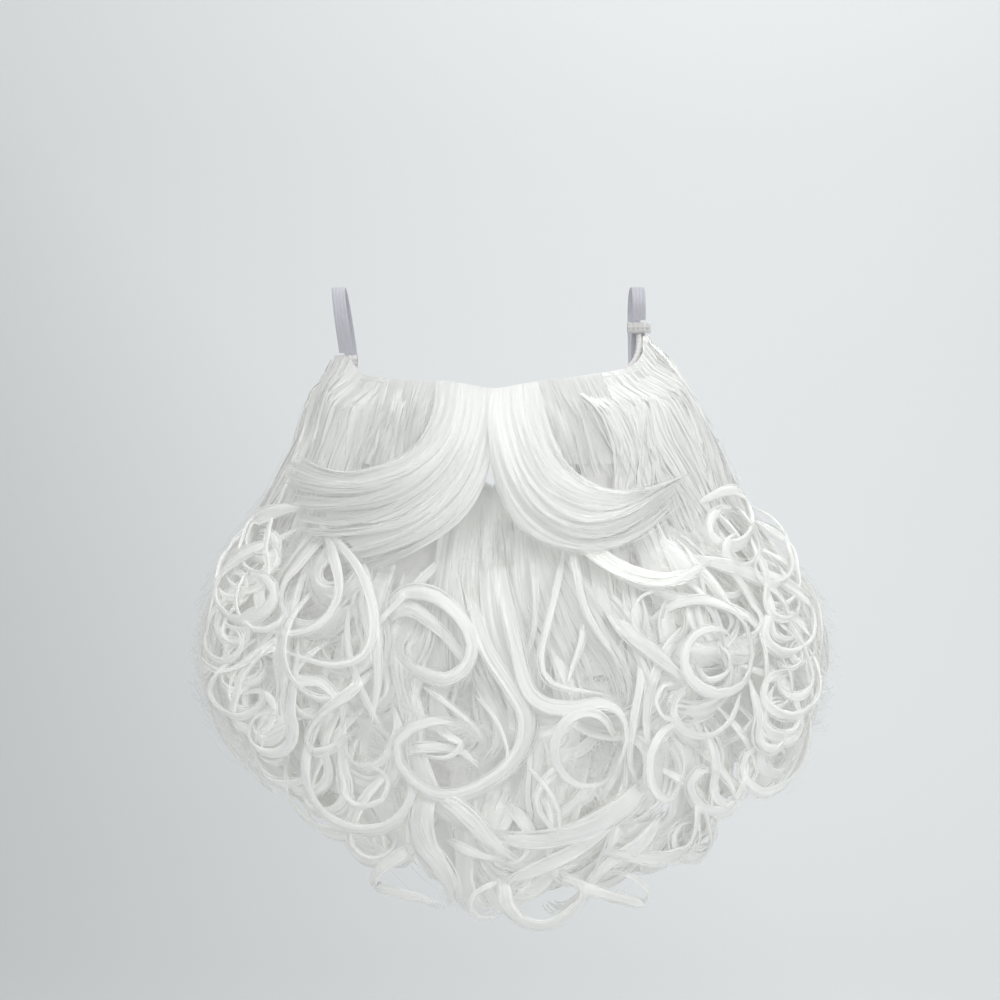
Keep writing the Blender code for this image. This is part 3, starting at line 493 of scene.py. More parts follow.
def on_hair(angle, down, lift):
    """Places on the outer side of the hair moved out by lift, and the way out there."""
    place = hair_point(angle, down, 1.0)
    out = out_from(place, down)
    return place + out * np.asarray(lift)[..., None], out


def spot(u, v, lift):
    """Places on the hair that show at points of the picture, and the way out there."""
    x = (u - MIDDLE) * UNIT
    down = -CAMERA[2] + (v - MIDDLE) * UNIT
    for _ in range(SPOT_ROUNDS):
        left, right, front, axis = np.moveaxis(row_at(HAIR, down), -1, 0)
        share = np.minimum(np.abs(x) / np.where(x > 0, right, left), 0.98)
        angle = np.copysign(np.degrees(np.arcsin(share)), x)
        place, out = on_hair(angle, down, lift)
        depth = place[..., 1] - CAMERA[1]
        aside = (u - MIDDLE) * depth / FOCAL - (place[..., 0] - CAMERA[0])
        below = (v - MIDDLE) * depth / FOCAL + (place[..., 2] - CAMERA[2])
        x = x + aside
        down = down + below
    place = place + np.stack([aside, np.zeros_like(aside), -below], axis=-1)
    return place, out


# Meshes of hair

class Tuft:
    """Ribbons, bodies and sheets of hair gathered for one mesh."""

    def __init__(self):
        self.points = []
        self.quads = []
        self.marks = []
        self.count = 0

    def add_grid(self, points, marks, wrap=False):
        """Quads between rows and columns of points: arrays (pieces, rows, columns, 3)."""
        pieces, rows, columns = points.shape[:3]
        index = self.count + np.arange(pieces * rows * columns).reshape(pieces, rows, columns)
        beside = np.roll(index, -1, axis=2) if wrap else index[:, :, 1:]
        here = index if wrap else index[:, :, :-1]
        quads = np.stack([here[:, :-1], beside[:, :-1], beside[:, 1:], here[:, 1:]], axis=-1)
        self.points.append(points.reshape(-1, 3))
        self.marks.append(marks.reshape(-1, 2))
        self.quads.append(quads.reshape(-1, 4))
        self.count += pieces * rows * columns

    def add_ribbons(self, centre, across, width, seed):
        """Flat ribbons along lines of points, width wide, each with its own streak."""
        half = across * width[..., None] / 2
        edges = np.stack([centre - half, centre + half], axis=2)
        steps = np.linalg.norm(np.diff(centre, axis=1), axis=-1)
        along = np.concatenate([np.zeros((len(centre), 1)), np.cumsum(steps, axis=1)], axis=1)
        streak = seed[:, None, None] + width[..., None] / STREAK_WIDTH * np.array([0.0, 1.0])
        marks = np.stack(np.broadcast_arrays(streak, along[..., None] / STREAK_LENGTH), axis=-1)
        self.add_grid(edges, marks)

    def finish(self, name, material, node):
        """Make the mesh, dressed and riding on the body, in place of its solid."""
        points = np.concatenate(self.points)
        quads = np.concatenate(self.quads)
        marks = np.concatenate(self.marks)
        mesh = bpy.data.meshes.new(name)
        mesh.vertices.add(len(points))
        mesh.vertices.foreach_set("co", points.ravel())
        mesh.loops.add(quads.size)
        mesh.loops.foreach_set("vertex_index", quads.ravel())
        mesh.polygons.add(len(quads))
        mesh.polygons.foreach_set("loop_start", np.arange(0, quads.size, 4))
        layer = mesh.uv_layers.new(name="streaks")
        layer.data.foreach_set("uv", marks[quads.ravel()].ravel())
        mesh.update(calc_edges=True)
        mesh.validate()
        mesh.shade_smooth()
        mesh.materials.append(material)
        obj = bpy.data.objects.new(name, mesh)
        bpy.context.scene.collection.objects.link(obj)
        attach(obj, "root")
        if node:
            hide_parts(node)


def line_frame(line, outs):
    """Along, across and outward directions at the points of lines."""
    ahead = unit(np.gradient(line, axis=-2))
    out = unit(outs - ahead * dot(outs, ahead))
    return ahead, np.cross(ahead, out), out


def tilt(across, out, degrees):
    """Turn the flat of a ribbon about its line."""
    turn = np.radians(degrees)[..., None]
    return across * np.cos(turn) + out * np.sin(turn)


def band(tuft, rng, line, outs, width, roll, strands, flat=LOCK_FLAT):
    """A lock: fibres round a flattened core that tapers along a line."""
    ahead, across, out = line_frame(line, outs)
    fine = len(line)
    t = np.linspace(0, 1, fine)
    waves = np.sin(2 * math.pi * rng.uniform(0.6, 1.4) * t + rng.uniform(0, PHASES))
    roll = (np.radians(roll) * smooth(t * 2) + 0.22 * waves)[:, None]
    wide = across * np.cos(roll) + out * np.sin(roll)
    thin = out * np.cos(roll) - across * np.sin(roll)
    half = width / 2 * (ROOT_WIDTH + (1 - ROOT_WIDTH) * smooth(t / 0.3)) * (1 - (1 - TIP_WIDTH) * t**2.4)
    sections = int(np.clip(length_of(line) / LOCK_STEP, 12, 44))
    form = np.concatenate([line, wide, thin, half[:, None]], axis=1)

    def core(at):
        place, wide_at, thin_at, half_at = np.split(spline(form, at * (fine - 1)), (3, 6, 9), axis=-1)
        return place, unit(wide_at), unit(thin_at), half_at

    # Clumps of fibres part and meet again round the core
    clumps = max(4, round(width * 800))
    clump = rng.integers(0, clumps, strands)
    round_clump = 2 * math.pi * (np.arange(clumps) + rng.uniform(0, 0.7, clumps)) / clumps
    start = round_clump[clump] + rng.normal(0, 0.45, strands) * 2 * math.pi / clumps
    drift = rng.uniform(-0.8, 0.8) + rng.normal(0, 0.4, clumps)[clump] + rng.normal(0, 0.2, strands)
    grow = (1 + rng.normal(0, 0.16, clumps))[clump] * rng.uniform(0.82, 1.02, strands)
    first = rng.uniform(0, 0.06, strands)
    last = 1 - 0.22 * rng.uniform(0, 1, strands) ** 2
    ratio = np.linspace(0, 1, sections)
    at = first[:, None] + (last - first)[:, None] * ratio
    turn = start[:, None] + drift[:, None] * at
    clump_phase = rng.uniform(0, 2 * math.pi, (clumps, 2))[clump]
    rate = rng.uniform(0.4, 1.3, (clumps, 2))[clump]
    sway = np.sin(2 * math.pi * rate[:, None] * at[..., None] + clump_phase[:, None])
    own_phase = rng.uniform(0, 2 * math.pi, (strands, 2))
    own = np.sin(2 * math.pi * 1.9 * at[..., None] + own_phase[:, None])
    loose = rng.uniform(0, 1, strands) < STRAY
    place, wide_at, thin_at, half_at = core(at)
    away = (PARTING * smooth(at * 2)[..., None] * sway + 0.05 * own) * half_at
    away[..., 1] *= 0.6
    away += loose[:, None, None] * at[..., None] * (0.5 * half_at + 0.0012) * np.roll(sway, 1, axis=-1)
    cos = np.cos(turn)[..., None]
    sin = np.sin(turn)[..., None]
    size = half_at * grow[:, None, None]
    centre = place + wide_at * (size * cos + away[..., :1]) + thin_at * (size * flat * sin + away[..., 1:])
    lie = unit(-wide_at * sin + thin_at * flat * cos)
    face = np.cross(lie, unit(np.gradient(centre, axis=1)))
    lie = tilt(lie, face, rng.normal(0, 9, (strands, 1)))
    cover = math.pi * width * (1 + flat) / 2 / strands
    thick = max(cover * 1.7, 0.00045) * rng.uniform(0.6, 1.3, strands)
    thick = np.where(loose, STRAY_WIDTH, thick)
    taper = np.minimum(1, 0.35 + 3 * ratio) * (1 - 0.62 * ratio**3)
    tuft.add_ribbons(centre, lie, thick[:, None] * taper, streaks(rng, strands))

    # The core that closes the lock
    at = np.linspace(0, CORE_END, max(8, sections // 2))
    place, wide_at, thin_at, half_at = core(at)
    turn = 2 * math.pi * np.arange(CORE_SIDES) / CORE_SIDES
    size = half_at[:, None] * CORE
    ring = (
        place[:, None]
        + wide_at[:, None] * size * np.cos(turn)[:, None]
        + thin_at[:, None] * size * flat * np.sin(turn)[:, None]
    )
    ring[-1] = ring[-1].mean(axis=0)
    ring[0] = ring[0].mean(axis=0)
    around = rng.uniform(0, STREAKS) + np.arange(CORE_SIDES) * width / STREAK_WIDTH / CORE_SIDES * 2.4
    marks = np.stack(np.broadcast_arrays(
        around, (at * length_of(line) / STREAK_LENGTH)[:, None]), axis=-1)
    tuft.add_grid(ring[None], marks[None], wrap=True)


def curl(tuft, rng, row, density=3.2):
    """A lock along a path in the picture, from within the hair out to its lift."""
    width, lift, end, roll, path = row
    path = np.array(path, float)
    flat_path = np.column_stack([path, np.zeros(len(path))])
    places = spline(flat_path, np.linspace(0, len(path) - 1, 16 * len(path)))
    places = even(places, 150)
    t = np.linspace(0, 1, len(places))
    raised = (lift + (end - lift) * t) / 1000
    lifts = (raised + CURL_ROOT) * smooth(t / 0.25) - CURL_ROOT
    line, outs = spot(places[:, 0], places[:, 1], lifts)
    both = even(np.concatenate([line, outs], axis=1), 140)
    line = both[:, :3]
    outs = unit(both[:, 3:])
    ahead, _, out = line_frame(line, outs)
    bend = np.sign(np.sum(np.cross(np.gradient(ahead, axis=0), ahead) * out))
    strands = int(np.clip(width * density, 7, 60))
    band(tuft, rng, line, outs, width * WIDER * LOCK_UNIT, roll * bend, strands)


def lay_sheet(tuft, rng, strand, start, along, ratio, width, sheet):
    """Ribbons along the strands of a sheet, and single fibres that stand off it."""
    count = len(start)
    across = np.broadcast_to(start[:, None], along.shape)
    own = rng.uniform(-1.3, 0.1, (count, 1))
    centre, out = strand(across, along, own)
    beside, _ = strand(across + sheet.beside, along, own)
    ahead, _, out = line_frame(centre, out)
    toward = unit(beside - centre)
    lie = unit(toward - ahead * dot(toward, ahead))
    wander = sheet.wander * np.sin(2 * math.pi * sheet.waves * along + phase(rng, count))
    centre = centre + lie * wander[..., None]
    lie = tilt(lie, np.cross(lie, ahead), rng.normal(0, sheet.turn, (count, 1)))
    thick = width * rng.uniform(0.5, 1.3, count)
    taper = np.minimum(1, sheet.root + 3 * ratio) * (1 - sheet.thinning * ratio**3)
    tuft.add_ribbons(centre, lie, thick[:, None] * taper, streaks(rng, count))

    loose_count = count // LOOSE_SHARE
    pick = rng.integers(0, count, loose_count)
    rate = rng.uniform(0.5, 1.2, (loose_count, 1))
    off = np.sin(2 * math.pi * rate * along[pick] + phase(rng, loose_count))
    loose = centre[pick] + lie[pick] * (sheet.sway * off * along[pick])[..., None]
    loose = loose + out[pick] * (sheet.stand * along[pick])[..., None]
    tuft.add_ribbons(loose, lie[pick], np.full(along[pick].shape, LOOSE_WIDTH), streaks(rng, loose_count))


def sweep(tuft, rng, guides, strands, sections, width, depth=1.5, ragged=0.22, tips=16, backed=True,
          sink=1.6, late=0.02):
    """A wide sheet of hair between guide strands, soft in its depth and gathered at its tips."""
    count = 60
    lines = []
    for guide in guides:
        guide = np.array(guide, float)
        lines.append(even(spline(guide, np.linspace(0, len(guide) - 1, 12 * len(guide))), count))
    lines = np.stack(lines)
    last = len(lines) - 1
    swell = ripple(rng, 1.6, 0.5)
    lock = ripple(rng, 5.0, 0.9)
    wisp = ripple(rng, 14.0, 1.4)
    drift = ripple(rng, 1.8, 0.6)
    waver = ripple(rng, 6.0, 1.1)
    edges = np.sort(rng.uniform(0, 1, tips))

    def at(across, along):
        """Picture place and lift, by the share across the guides and along them."""
        row = along * (count - 1)
        low = np.minimum(row.astype(int), count - 2)
        part = (row - low)[..., None]
        place = across * last
        index = np.clip(place.astype(int), 0, last - 1)
        t = (place - index)[..., None]

        def value(guide):
            guide = np.clip(guide, 0, last)
            return lines[guide, low] * (1 - part) + lines[guide, low + 1] * part

        here = value(index)
        beyond = value(index + 1)
        slope_low = (beyond - value(index - 1)) / np.where(index > 0, 2, 1)[..., None]
        slope_high = (value(index + 2) - here) / np.where(index + 1 < last, 2, 1)[..., None]
        return hermite(here, beyond, slope_low, slope_high, t)

    def strand(across, along, own):
        """Places of strands by where they start across the sheet."""
        aim = edges[np.argmin(np.abs(across[..., None] - edges), axis=-1)]
        place = across + (aim - across) * 0.5 * smooth((along - 0.45) / 0.55)
        place = place + (0.030 * drift(across, along) + 0.010 * waver(across, along)) * smooth(along * 2)
        spots = at(np.clip(place, 0, 1), along)
        rise = 1.1 * swell(across, along) + 0.55 * lock(across, along) + 0.22 * wisp(across, along)
        lift = spots[..., 2] + depth * (rise * smooth(along * 3)) + own
        return spot(spots[..., 0], spots[..., 1], lift / 1000)

    start = rng.uniform(0, 1, strands)
    ratio = np.linspace(0, 1, sections)
    end = 1 - ragged * rng.uniform(0, 1, strands) ** 1.5
    begin = late * rng.uniform(0, 1, strands) ** 2
    along = begin[:, None] + (end - begin)[:, None] * ratio
    lay_sheet(tuft, rng, strand, start, along, ratio, width, SWEPT)
    if backed:
        # A closed sheet just under the strands, so that nothing shows through
        across, along = np.meshgrid(np.linspace(0, 1, 30), np.linspace(late, 0.86, 26))
        place, _ = strand(across, along, -sink - 1.2 * smooth((along - 0.6) * 3))
        tuft.add_grid(place[None], np.stack([across * 160, along * 5], axis=-1)[None])


def cheek(tuft, rng, side, strands, sections, first, last, end, width, layer, depth):
    """Hair that falls from the top edge of the backing over the cheek."""
    swell = ripple(rng, 1 / 26, 0.6)
    lock = ripple(rng, 1 / 8, 1.0)
    wisp = ripple(rng, 1 / 3, 1.6)
    drift = ripple(rng, 1 / 24, 0.7)
    waver = ripple(rng, 1 / 8, 1.2)
    middles = np.sort(rng.uniform(first, last, round((last - first) / 2.6)))

    def strand(start, along, own):
        """Places of strands by the angle at which they start."""
        aim = middles[np.argmin(np.abs(start[..., None] - middles), axis=-1)]
        angle = start + (aim - start) * 0.3 * smooth((along - 0.4) / 0.6)
        angle = angle + (2.6 * drift(start, along) + 0.8 * waver(start, along)) * smooth(along * 1.6)
        angle = side * np.minimum(angle, last - 15 * (1 - along * 0.8))
        top = row_at(EDGES, angle)[..., 0] - ROOT_RISE
        lifted = 0.0
        if side < 0:
            lifted = smooth((np.abs(angle) - 52) / 13)
            top = np.maximum(top - CORNER_RISE * lifted, CORNER_TOP + 0.0016 * wisp(start, 0 * along))
        down = top + (end - top) * along
        risen = smooth((down - top) / 0.017)
        base = 0.06 + 0.55 * lifted
        place = hair_point(angle, down, base + (layer - base) * risen)
        out = out_from(place, down)
        rise = 1.1 * swell(start, along) + 0.6 * lock(start, along) + 0.25 * wisp(start, along)
        lift = (depth * rise + own) * risen
        return place + out * (lift / 1000)[..., None], out

    start = rng.uniform(first, last, strands)
    ratio = np.linspace(0, 1, sections)
    along = (1 - 0.35 * rng.uniform(0, 1, strands))[:, None] * ratio
    lay_sheet(tuft, rng, strand, start, along, ratio, width, FALLEN)


def rear_fall(tuft, rng, side, count):
    """Hair that hangs down the rear edge, between the inner side and the outer one."""
    edge = row_at(EDGES, side * float(REAR_EDGE))[0]
    ratio = np.linspace(0, 1, 18)
    share = rng.uniform(0, 1, (count, 1)) * 0.9 + 0.05
    sway = 2.0 * np.sin(4 * ratio + phase(rng, count)) * ratio
    angle = side * (rng.uniform(83, 87, (count, 1)) + REAR_FILL * ratio + sway)
    top = edge + 0.001 + 0.012 * rng.uniform(0, 1, (count, 1))
    stop = rng.uniform(0.16, 0.235, (count, 1))
    down = top + (stop - top) * ratio
    spread = 0.06 + (share - 0.06) * smooth(ratio * 2.5)
    centre = hair_point(angle, down, spread + 0.05 * np.sin(5 * ratio + phase(rng, count)) * ratio)
    ahead = unit(np.gradient(centre, axis=1))
    beside = unit(hair_point(angle, down, spread + 0.05) - centre)
    lie = unit(beside - ahead * dot(beside, ahead))
    width = rng.uniform(0.0012, 0.0026, count)[:, None] * (1 - 0.7 * ratio**3)
    lie = tilt(lie, np.cross(lie, ahead), rng.normal(0, 16, (count, 1)))
    tuft.add_ribbons(centre, lie, width, streaks(rng, count))

    # A closed sheet behind them
    share, along = np.meshgrid(np.linspace(0.04, 0.92, 10), np.linspace(0, 1, 24))
    top = edge + 0.004
    down = top + (0.235 - 0.02 * share - top) * along
    share = 0.04 + (share - 0.04) * smooth(along * 2.5)
    place = hair_point(side * (84 + REAR_FILL * along), down, share)
    tuft.add_grid(place[None], np.stack([share * 160, along * 9], axis=-1)[None])


def mass(tuft, rng, angles, top, bottom, fill, columns, rough):
    """The closed mass of hair under the locks, as a sheet with soft hollows."""
    angle, along = np.meshgrid(np.linspace(*angles, columns), np.linspace(0, 1, 44))
    limit = 86 + 18 * along
    angle = np.clip(angle, -limit, limit)
    start = row_at(EDGES, angle)[..., 0] + 0.0005 if top is None else np.full(angle.shape, top)
    down = start + (bottom - start) * along
    shares = fill * (0.25 + 0.75 * smooth((down - start) / 0.030)) * (1 - 0.35 * along**6)
    place = hair_point(angle, down, shares)
    out = out_from(place, down)
    hollow = np.zeros(angle.shape)
    for _ in range(14):
        wave = rng.normal(0, 1, 2) * np.array([1 / 7, 1 / 0.018])
        hollow += np.sin(angle * wave[0] + down * wave[1] + rng.uniform(0, PHASES))
    place = place + out * (hollow * rough / 4 * smooth(along * 5))[..., None]
    marks = np.stack([angle * 3.0, down / STREAK_LENGTH], axis=-1)
    tuft.add_grid(place[None], marks[None])


def frizz(tuft, rng, count, angles, downs, fill):
    """Single loose fibres that curl over the hair."""
    angle = rng.uniform(*angles, count)
    down = rng.uniform(*downs, count)
    reach = rng.uniform(*FRIZZ_REACH, count)
    radius = rng.uniform(*FRIZZ_RADIUS, count) * rng.choice((-1, 1), count)
    heading = rng.normal(-math.pi / 2, 0.8, count)
    ratio = np.linspace(0, 1, 18)
    turn = heading[:, None] + reach[:, None] * ratio / radius[:, None]
    step = (reach / len(ratio))[:, None]
    arc = np.cumsum(np.cos(turn), axis=1) * step
    drop = np.cumsum(-np.sin(turn), axis=1) * step
    down = np.clip(down[:, None] + drop, 0.06, 0.300)
    limit = rear_limit(down)
    angle = np.clip(angle[:, None] + np.degrees(arc / ARC_RADIUS), -limit, limit)
    share = rng.uniform(*fill, (count, 1)) + 0.05 * np.sin(ratio * 4 + phase(rng, count))
    centre = hair_point(angle, down, share)
    _, lie, _ = line_frame(centre, out_from(centre, down))
    thick = rng.uniform(*FRIZZ_WIDTH, count)[:, None] * (1 - 0.5 * np.abs(2 * ratio - 1) ** 3)
    tuft.add_ribbons(centre, lie, thick, streaks(rng, count))


def fall_and_turn(root, bend, centre, start, turn, reach, coil):
    """A path that falls past a bend into a curl, in a plane."""
    start = math.radians(start)
    turn = math.radians(turn)
    centre = np.array(centre)
    entry = centre + reach * np.array([math.cos(start), math.sin(start)])
    heading = math.copysign(1, turn) * np.array([-math.sin(start), math.cos(start)])
    approach = entry - heading * np.linalg.norm(entry - bend) * 0.5
    t = np.linspace(0, 1, 40, endpoint=False)[:, None]
    fall = (
        np.array(root) * (1 - t) ** 3
        + np.array(bend) * 3 * t * (1 - t) ** 2
        + approach * 3 * t * t * (1 - t)
        + entry * t**3
    )
    t = np.linspace(0, 1, 80)[:, None]
    angle = start + turn * t
    radius = reach + (coil - reach) * t
    ring = centre + radius * np.concatenate([np.cos(angle), np.sin(angle)], axis=1)
    return np.concatenate([fall, ring])


def wrapped_lock(tuft, rng, path, width, lift, roll, strands, flat=LOCK_FLAT):
    """A lock along a path given by the arc round the hair and the height."""
    places = even(np.column_stack([path, np.zeros(len(path))]), 130)
    down = -places[:, 1]
    limit = rear_limit(down)
    angle = np.clip(np.degrees(places[:, 0] / ARC_RADIUS), -limit, limit)
    t = np.linspace(0, 1, len(places))
    lifts = (lift + LOCK_ROOT) * smooth(t / 0.42) - LOCK_ROOT
    line, outs = on_hair(angle, down, lifts)
    band(tuft, rng, line, outs, width, roll, strands, flat)


def side_curls(tuft, rng, side):
    """The curls round the side of the hair."""
    for angle, drop, radius in REAR:
        across = side * ARC_RADIUS * math.radians(angle)
        start = 20 if side > 0 else 160
        path = fall_and_turn(
            (across - side * 0.4 * radius, -(drop - 4.2 * radius)),
            (across + side * 1.2 * radius, -(drop - 2.4 * radius)),
            (across, -drop), start, -side * rng.uniform(215, 300), radius, 0.75 * radius)
        path = path + rng.normal(0, 0.002, 2)
        lift = -0.012 + rng.uniform(0, 0.004)
        wrapped_lock(tuft, rng, path, 0.9 * radius * rng.uniform(0.55, 0.8), lift,
                     side * rng.uniform(20, 45), 34)


def loose_curls(tuft, rng, count, angles, drops, sizes, widths, lifts, strands):
    """Curls of chance size and place that fill the spaces between the others."""
    for _ in range(count):
        angle = rng.uniform(*angles)
        drop = rng.uniform(*drops)
        radius = rng.uniform(*sizes)
        hand = rng.choice((-1, 1))
        across = ARC_RADIUS * math.radians(angle)
        start = 20 if hand > 0 else 160
        highest = row_at(EDGES, angle)[0] + 0.058
        path = fall_and_turn(
            (across - hand * rng.uniform(-0.5, 0.9) * radius,
             -max(drop - rng.uniform(3.0, 4.5) * radius, highest)),
            (across + hand * rng.uniform(0.6, 1.5) * radius, -(drop - 2.2 * radius)),
            (across, -drop), start, -hand * rng.uniform(130, 280), radius, rng.uniform(0.6, 0.95) * radius)
        lift = rng.uniform(*lifts) - 0.008 * smooth((abs(angle) - 42) / 20)
        wrapped_lock(tuft, rng, path, rng.uniform(*widths), lift, hand * rng.uniform(0, 30), strands,
                     LOOSE_FLAT)


def rim_curls(tuft, rng, side, rim, count):
    """Curls along the outer edge, seen full on from the front."""
    for height in np.linspace(0.03, 0.97, count):
        radius = rng.uniform(13, 25)
        v = rim[0, 0] + (rim[-1, 0] - rim[0, 0]) * height + rng.uniform(-8, 8)
        u = np.interp(v, rim[:, 0], rim[:, 1]) - side * (radius + rng.uniform(-3, 20))
        hand = side if rng.uniform() < 0.7 else -side
        path = fall_and_turn(
            (u - side * rng.uniform(18, 50), -max(v - rng.uniform(2.8, 4.2) * radius, 505)),
            (u + hand * rng.uniform(0.5, 1.2) * radius, -(v - 2.0 * radius)),
            (u, -v), 20 if hand > 0 else 160, -hand * rng.uniform(170, 330), radius,
            rng.uniform(0.6, 0.95) * radius)
        path = path[::7] * np.array([1, -1])
        curl(tuft, rng, (rng.uniform(8, 13), rng.uniform(1, 6), rng.uniform(2, 9), rng.uniform(8, 30), path),
             density=2.2)


def inner_fall(tuft, rng, angles, count, top, bottom):
    """Hair that hangs on the inner side, behind the chin and the cheeks."""
    angle = rng.uniform(*angles, count)
    ratio = np.linspace(0, 1, 16)
    angle = angle[:, None] + 2.5 * np.sin(3 * ratio + phase(rng, count)) * ratio
    stop = rng.uniform(bottom - 0.03, bottom, (count, 1))
    down = top + (stop - top) * ratio
    limit = rear_limit(down)
    angle = np.clip(angle, -limit, limit)
    share = rng.uniform(0.04, 0.18, (count, 1)) + 0.25 * ratio**4
    centre = hair_point(angle, down, share)
    _, lie, out = line_frame(centre, out_from(centre, down))
    width = rng.uniform(0.0008, 0.0018, count)[:, None] * (1 - 0.7 * ratio**3)
    lie = tilt(lie, out, rng.normal(0, 18, (count, 1)))
    tuft.add_ribbons(centre, lie, width, streaks(rng, count))


# Materials

def fill_in(node, values):
    """Set inputs of a node by name."""
    for name, value in values.items():
        node.inputs[name].default_value = value


def principled(name, colour, roughness):
    """A material with its shader, ready for more nodes."""
    material = bpy.data.materials.new(name)
    material.use_nodes = True
    shader = material.node_tree.nodes["Principled BSDF"]
    fill_in(shader, {"Base Color": (*colour, 1), "Roughness": roughness})
    return material, material.node_tree.nodes, material.node_tree.links, shader


def tones(nodes, links, value, shader, dark, light, places=(0, 1)):
    """Colour the shader between two tones by a value."""
    ramp = nodes.new("ShaderNodeValToRGB")
    for stop, place, colour in zip(ramp.color_ramp.elements, places, (dark, light)):
        stop.position = place
        stop.color = (*colour, 1)
    links.new(value, ramp.inputs["Fac"])
    links.new(ramp.outputs["Color"], shader.inputs["Base Color"])
    return ramp


def relief(nodes, links, value, shader, strength, distance):
    """Raise the surface by a value."""
    bump = nodes.new("ShaderNodeBump")
    fill_in(bump, {"Strength": strength, "Distance": distance})
    links.new(value, bump.inputs["Height"])
    links.new(bump.outputs["Normal"], shader.inputs["Normal"])


def hair_material(name, dark, light, roughness, painted_glow, spread):
    """Satin white fibre with fine streaks along it, and a painted glow that lifts its shade."""
    material, nodes, links, shader = principled(name, light, roughness)
    shader.subsurface_method = "BURLEY"
    fill_in(shader, {
        "Specular IOR Level": 0.8,
        "Sheen Weight": 0.25,
        "Sheen Roughness": 0.4,
        # Painted light: a faint emission makes the fibres glow, lifting their shade the way light scattered
        # through white hair would
        "Emission Color": (1.0, 0.995, 0.98, 1),
        "Emission Strength": painted_glow,
        "Subsurface Weight": spread,
        "Subsurface Radius": (1.0, 1.0, 0.95),
        "Subsurface Scale": 0.003,
    })
    marks = nodes.new("ShaderNodeUVMap")
    marks.uv_map = "streaks"
    fine = nodes.new("ShaderNodeTexNoise")
    fill_in(fine, {"Scale": 1.0, "Detail": 2.0})
    links.new(marks.outputs["UV"], fine.inputs["Vector"])
    tones(nodes, links, fine.outputs["Fac"], shader, dark, light, (0.30, 0.62))
    gloss = nodes.new("ShaderNodeMapRange")
    fill_in(gloss, {"To Min": roughness - 0.08, "To Max": roughness + 0.12})
    links.new(fine.outputs["Fac"], gloss.inputs["Value"])
    links.new(gloss.outputs["Result"], shader.inputs["Roughness"])
    relief(nodes, links, fine.outputs["Fac"], shader, 0.25, 0.0003)
    return material


def cloth_material(name, dark, light, pitch):
    """Matt plain weave."""
    material, nodes, links, shader = principled(name, light, 0.88)
    fill_in(shader, {"Sheen Weight": 0.3})
    place = nodes.new("ShaderNodeTexCoord")
    cross = nodes.new("ShaderNodeMath")
    cross.operation = "MAXIMUM"
    for socket, direction in zip(cross.inputs, ("X", "Z")):
        wave = nodes.new("ShaderNodeTexWave")
        wave.bands_direction = direction
        fill_in(wave, {"Scale": 1 / pitch / PHASES * 2, "Distortion": 0.6, "Detail": 1.0})
        links.new(place.outputs["Object"], wave.inputs["Vector"])
        links.new(wave.outputs["Fac"], socket)
    tones(nodes, links, cross.outputs["Value"], shader, dark, light)
    relief(nodes, links, cross.outputs["Value"], shader, 0.6, 0.0004)
    return material


def elastic_material():
    """Knitted elastic, with a fine stitch along each rib."""
    material, nodes, links, shader = principled("elastic_knit", (0.84, 0.84, 0.90), 0.62)
    fill_in(shader, {"Sheen Weight": 0.3})
    marks = nodes.new("ShaderNodeUVMap")
    marks.uv_map = "streaks"
    wave = nodes.new("ShaderNodeTexWave")
    wave.bands_direction = "Y"
    fill_in(wave, {"Scale": 3.2, "Distortion": 1.2})
    links.new(marks.outputs["UV"], wave.inputs["Vector"])
    tones(nodes, links, wave.outputs["Fac"], shader, (0.70, 0.70, 0.78), (0.90, 0.90, 0.96))
    relief(nodes, links, wave.outputs["Fac"], shader, 0.5, 0.0003)
    return material


# Ear loops and tabs

def tab_centre(side):
    """Middle of the rolled tab."""
    last = BACKING_BACK_ANGLE
    before = last - 2 * last / BACKING_COLUMNS
    low, high = (
        face_point(side * angle, row_at(EDGES, side * angle)[0], FABRIC / 2) for angle in (before, last)
    )
    centre = low + (high - low) * (TAB_ANGLE - before) / (last - before)
    slope = (high[2] - low[2]) / (high[1] - low[1])
    half = TAB_DIAMETER / 2
    centre[2] += math.hypot(half, slope * half * TAB_DEPTH_SHARE) + GAP * math.hypot(1, slope)
    return centre


def ear_loop(name, side, lean, material):
    """A ribbed elastic band round the ear."""
    tab = tab_centre(side)
    seat = GAP + ELASTIC_THICKNESS / 2
    base = tab[2] + TAB_DIAMETER / 2
    rise = -ELASTIC_THICKNESS / 2 - base
    fall = base + LOOP_BOTTOM
    route = [(tab[0], tab[1], base + GAP)]
    for back, height in LOOP_ROUTE:
        z = base + height * (rise if height > 0 else fall)
        route.append((tab[0] + lean * max(height, 0), back, z))
    back = tab[1] + TAB_DIAMETER / 2 * TAB_DEPTH_SHARE + seat
    route.append((tab[0], back + 0.0012, tab[2] - TAB_DIAMETER / 2))
    route.append((tab[0], back, tab[2]))
    line = even(spline(np.array(route), np.linspace(0, len(route) - 1, 300)), 120)
    ahead = unit(np.gradient(line, axis=0))
    thin = unit(np.stack([np.zeros(len(line)), ahead[:, 2], -ahead[:, 1]], axis=1))
    across = np.array([1.0, 0, 0])
    profile = []
    for face in (1, -1):
        for share in np.linspace(-face, face, 21):
            rib = abs(math.cos(math.pi * RIBS * (share + 1) / 2))
            profile.append((share * ELASTIC_WIDTH / 2, face * ELASTIC_THICKNESS / 2 * (0.98 - 0.42 * rib**3)))
    profile = np.array(profile)
    points = (
        line[:, None]
        + across * profile[None, :, :1]
        + thin[:, None] * profile[None, :, 1:]
    )
    along = np.linspace(0, length_of(line), len(line)) / STITCH
    marks = np.stack(np.broadcast_arrays(profile[:, 0] / STITCH, along[:, None]), axis=-1)
    tuft = Tuft()
    tuft.add_grid(points[None], marks[None], wrap=True)
    tuft.finish(name, material, name)


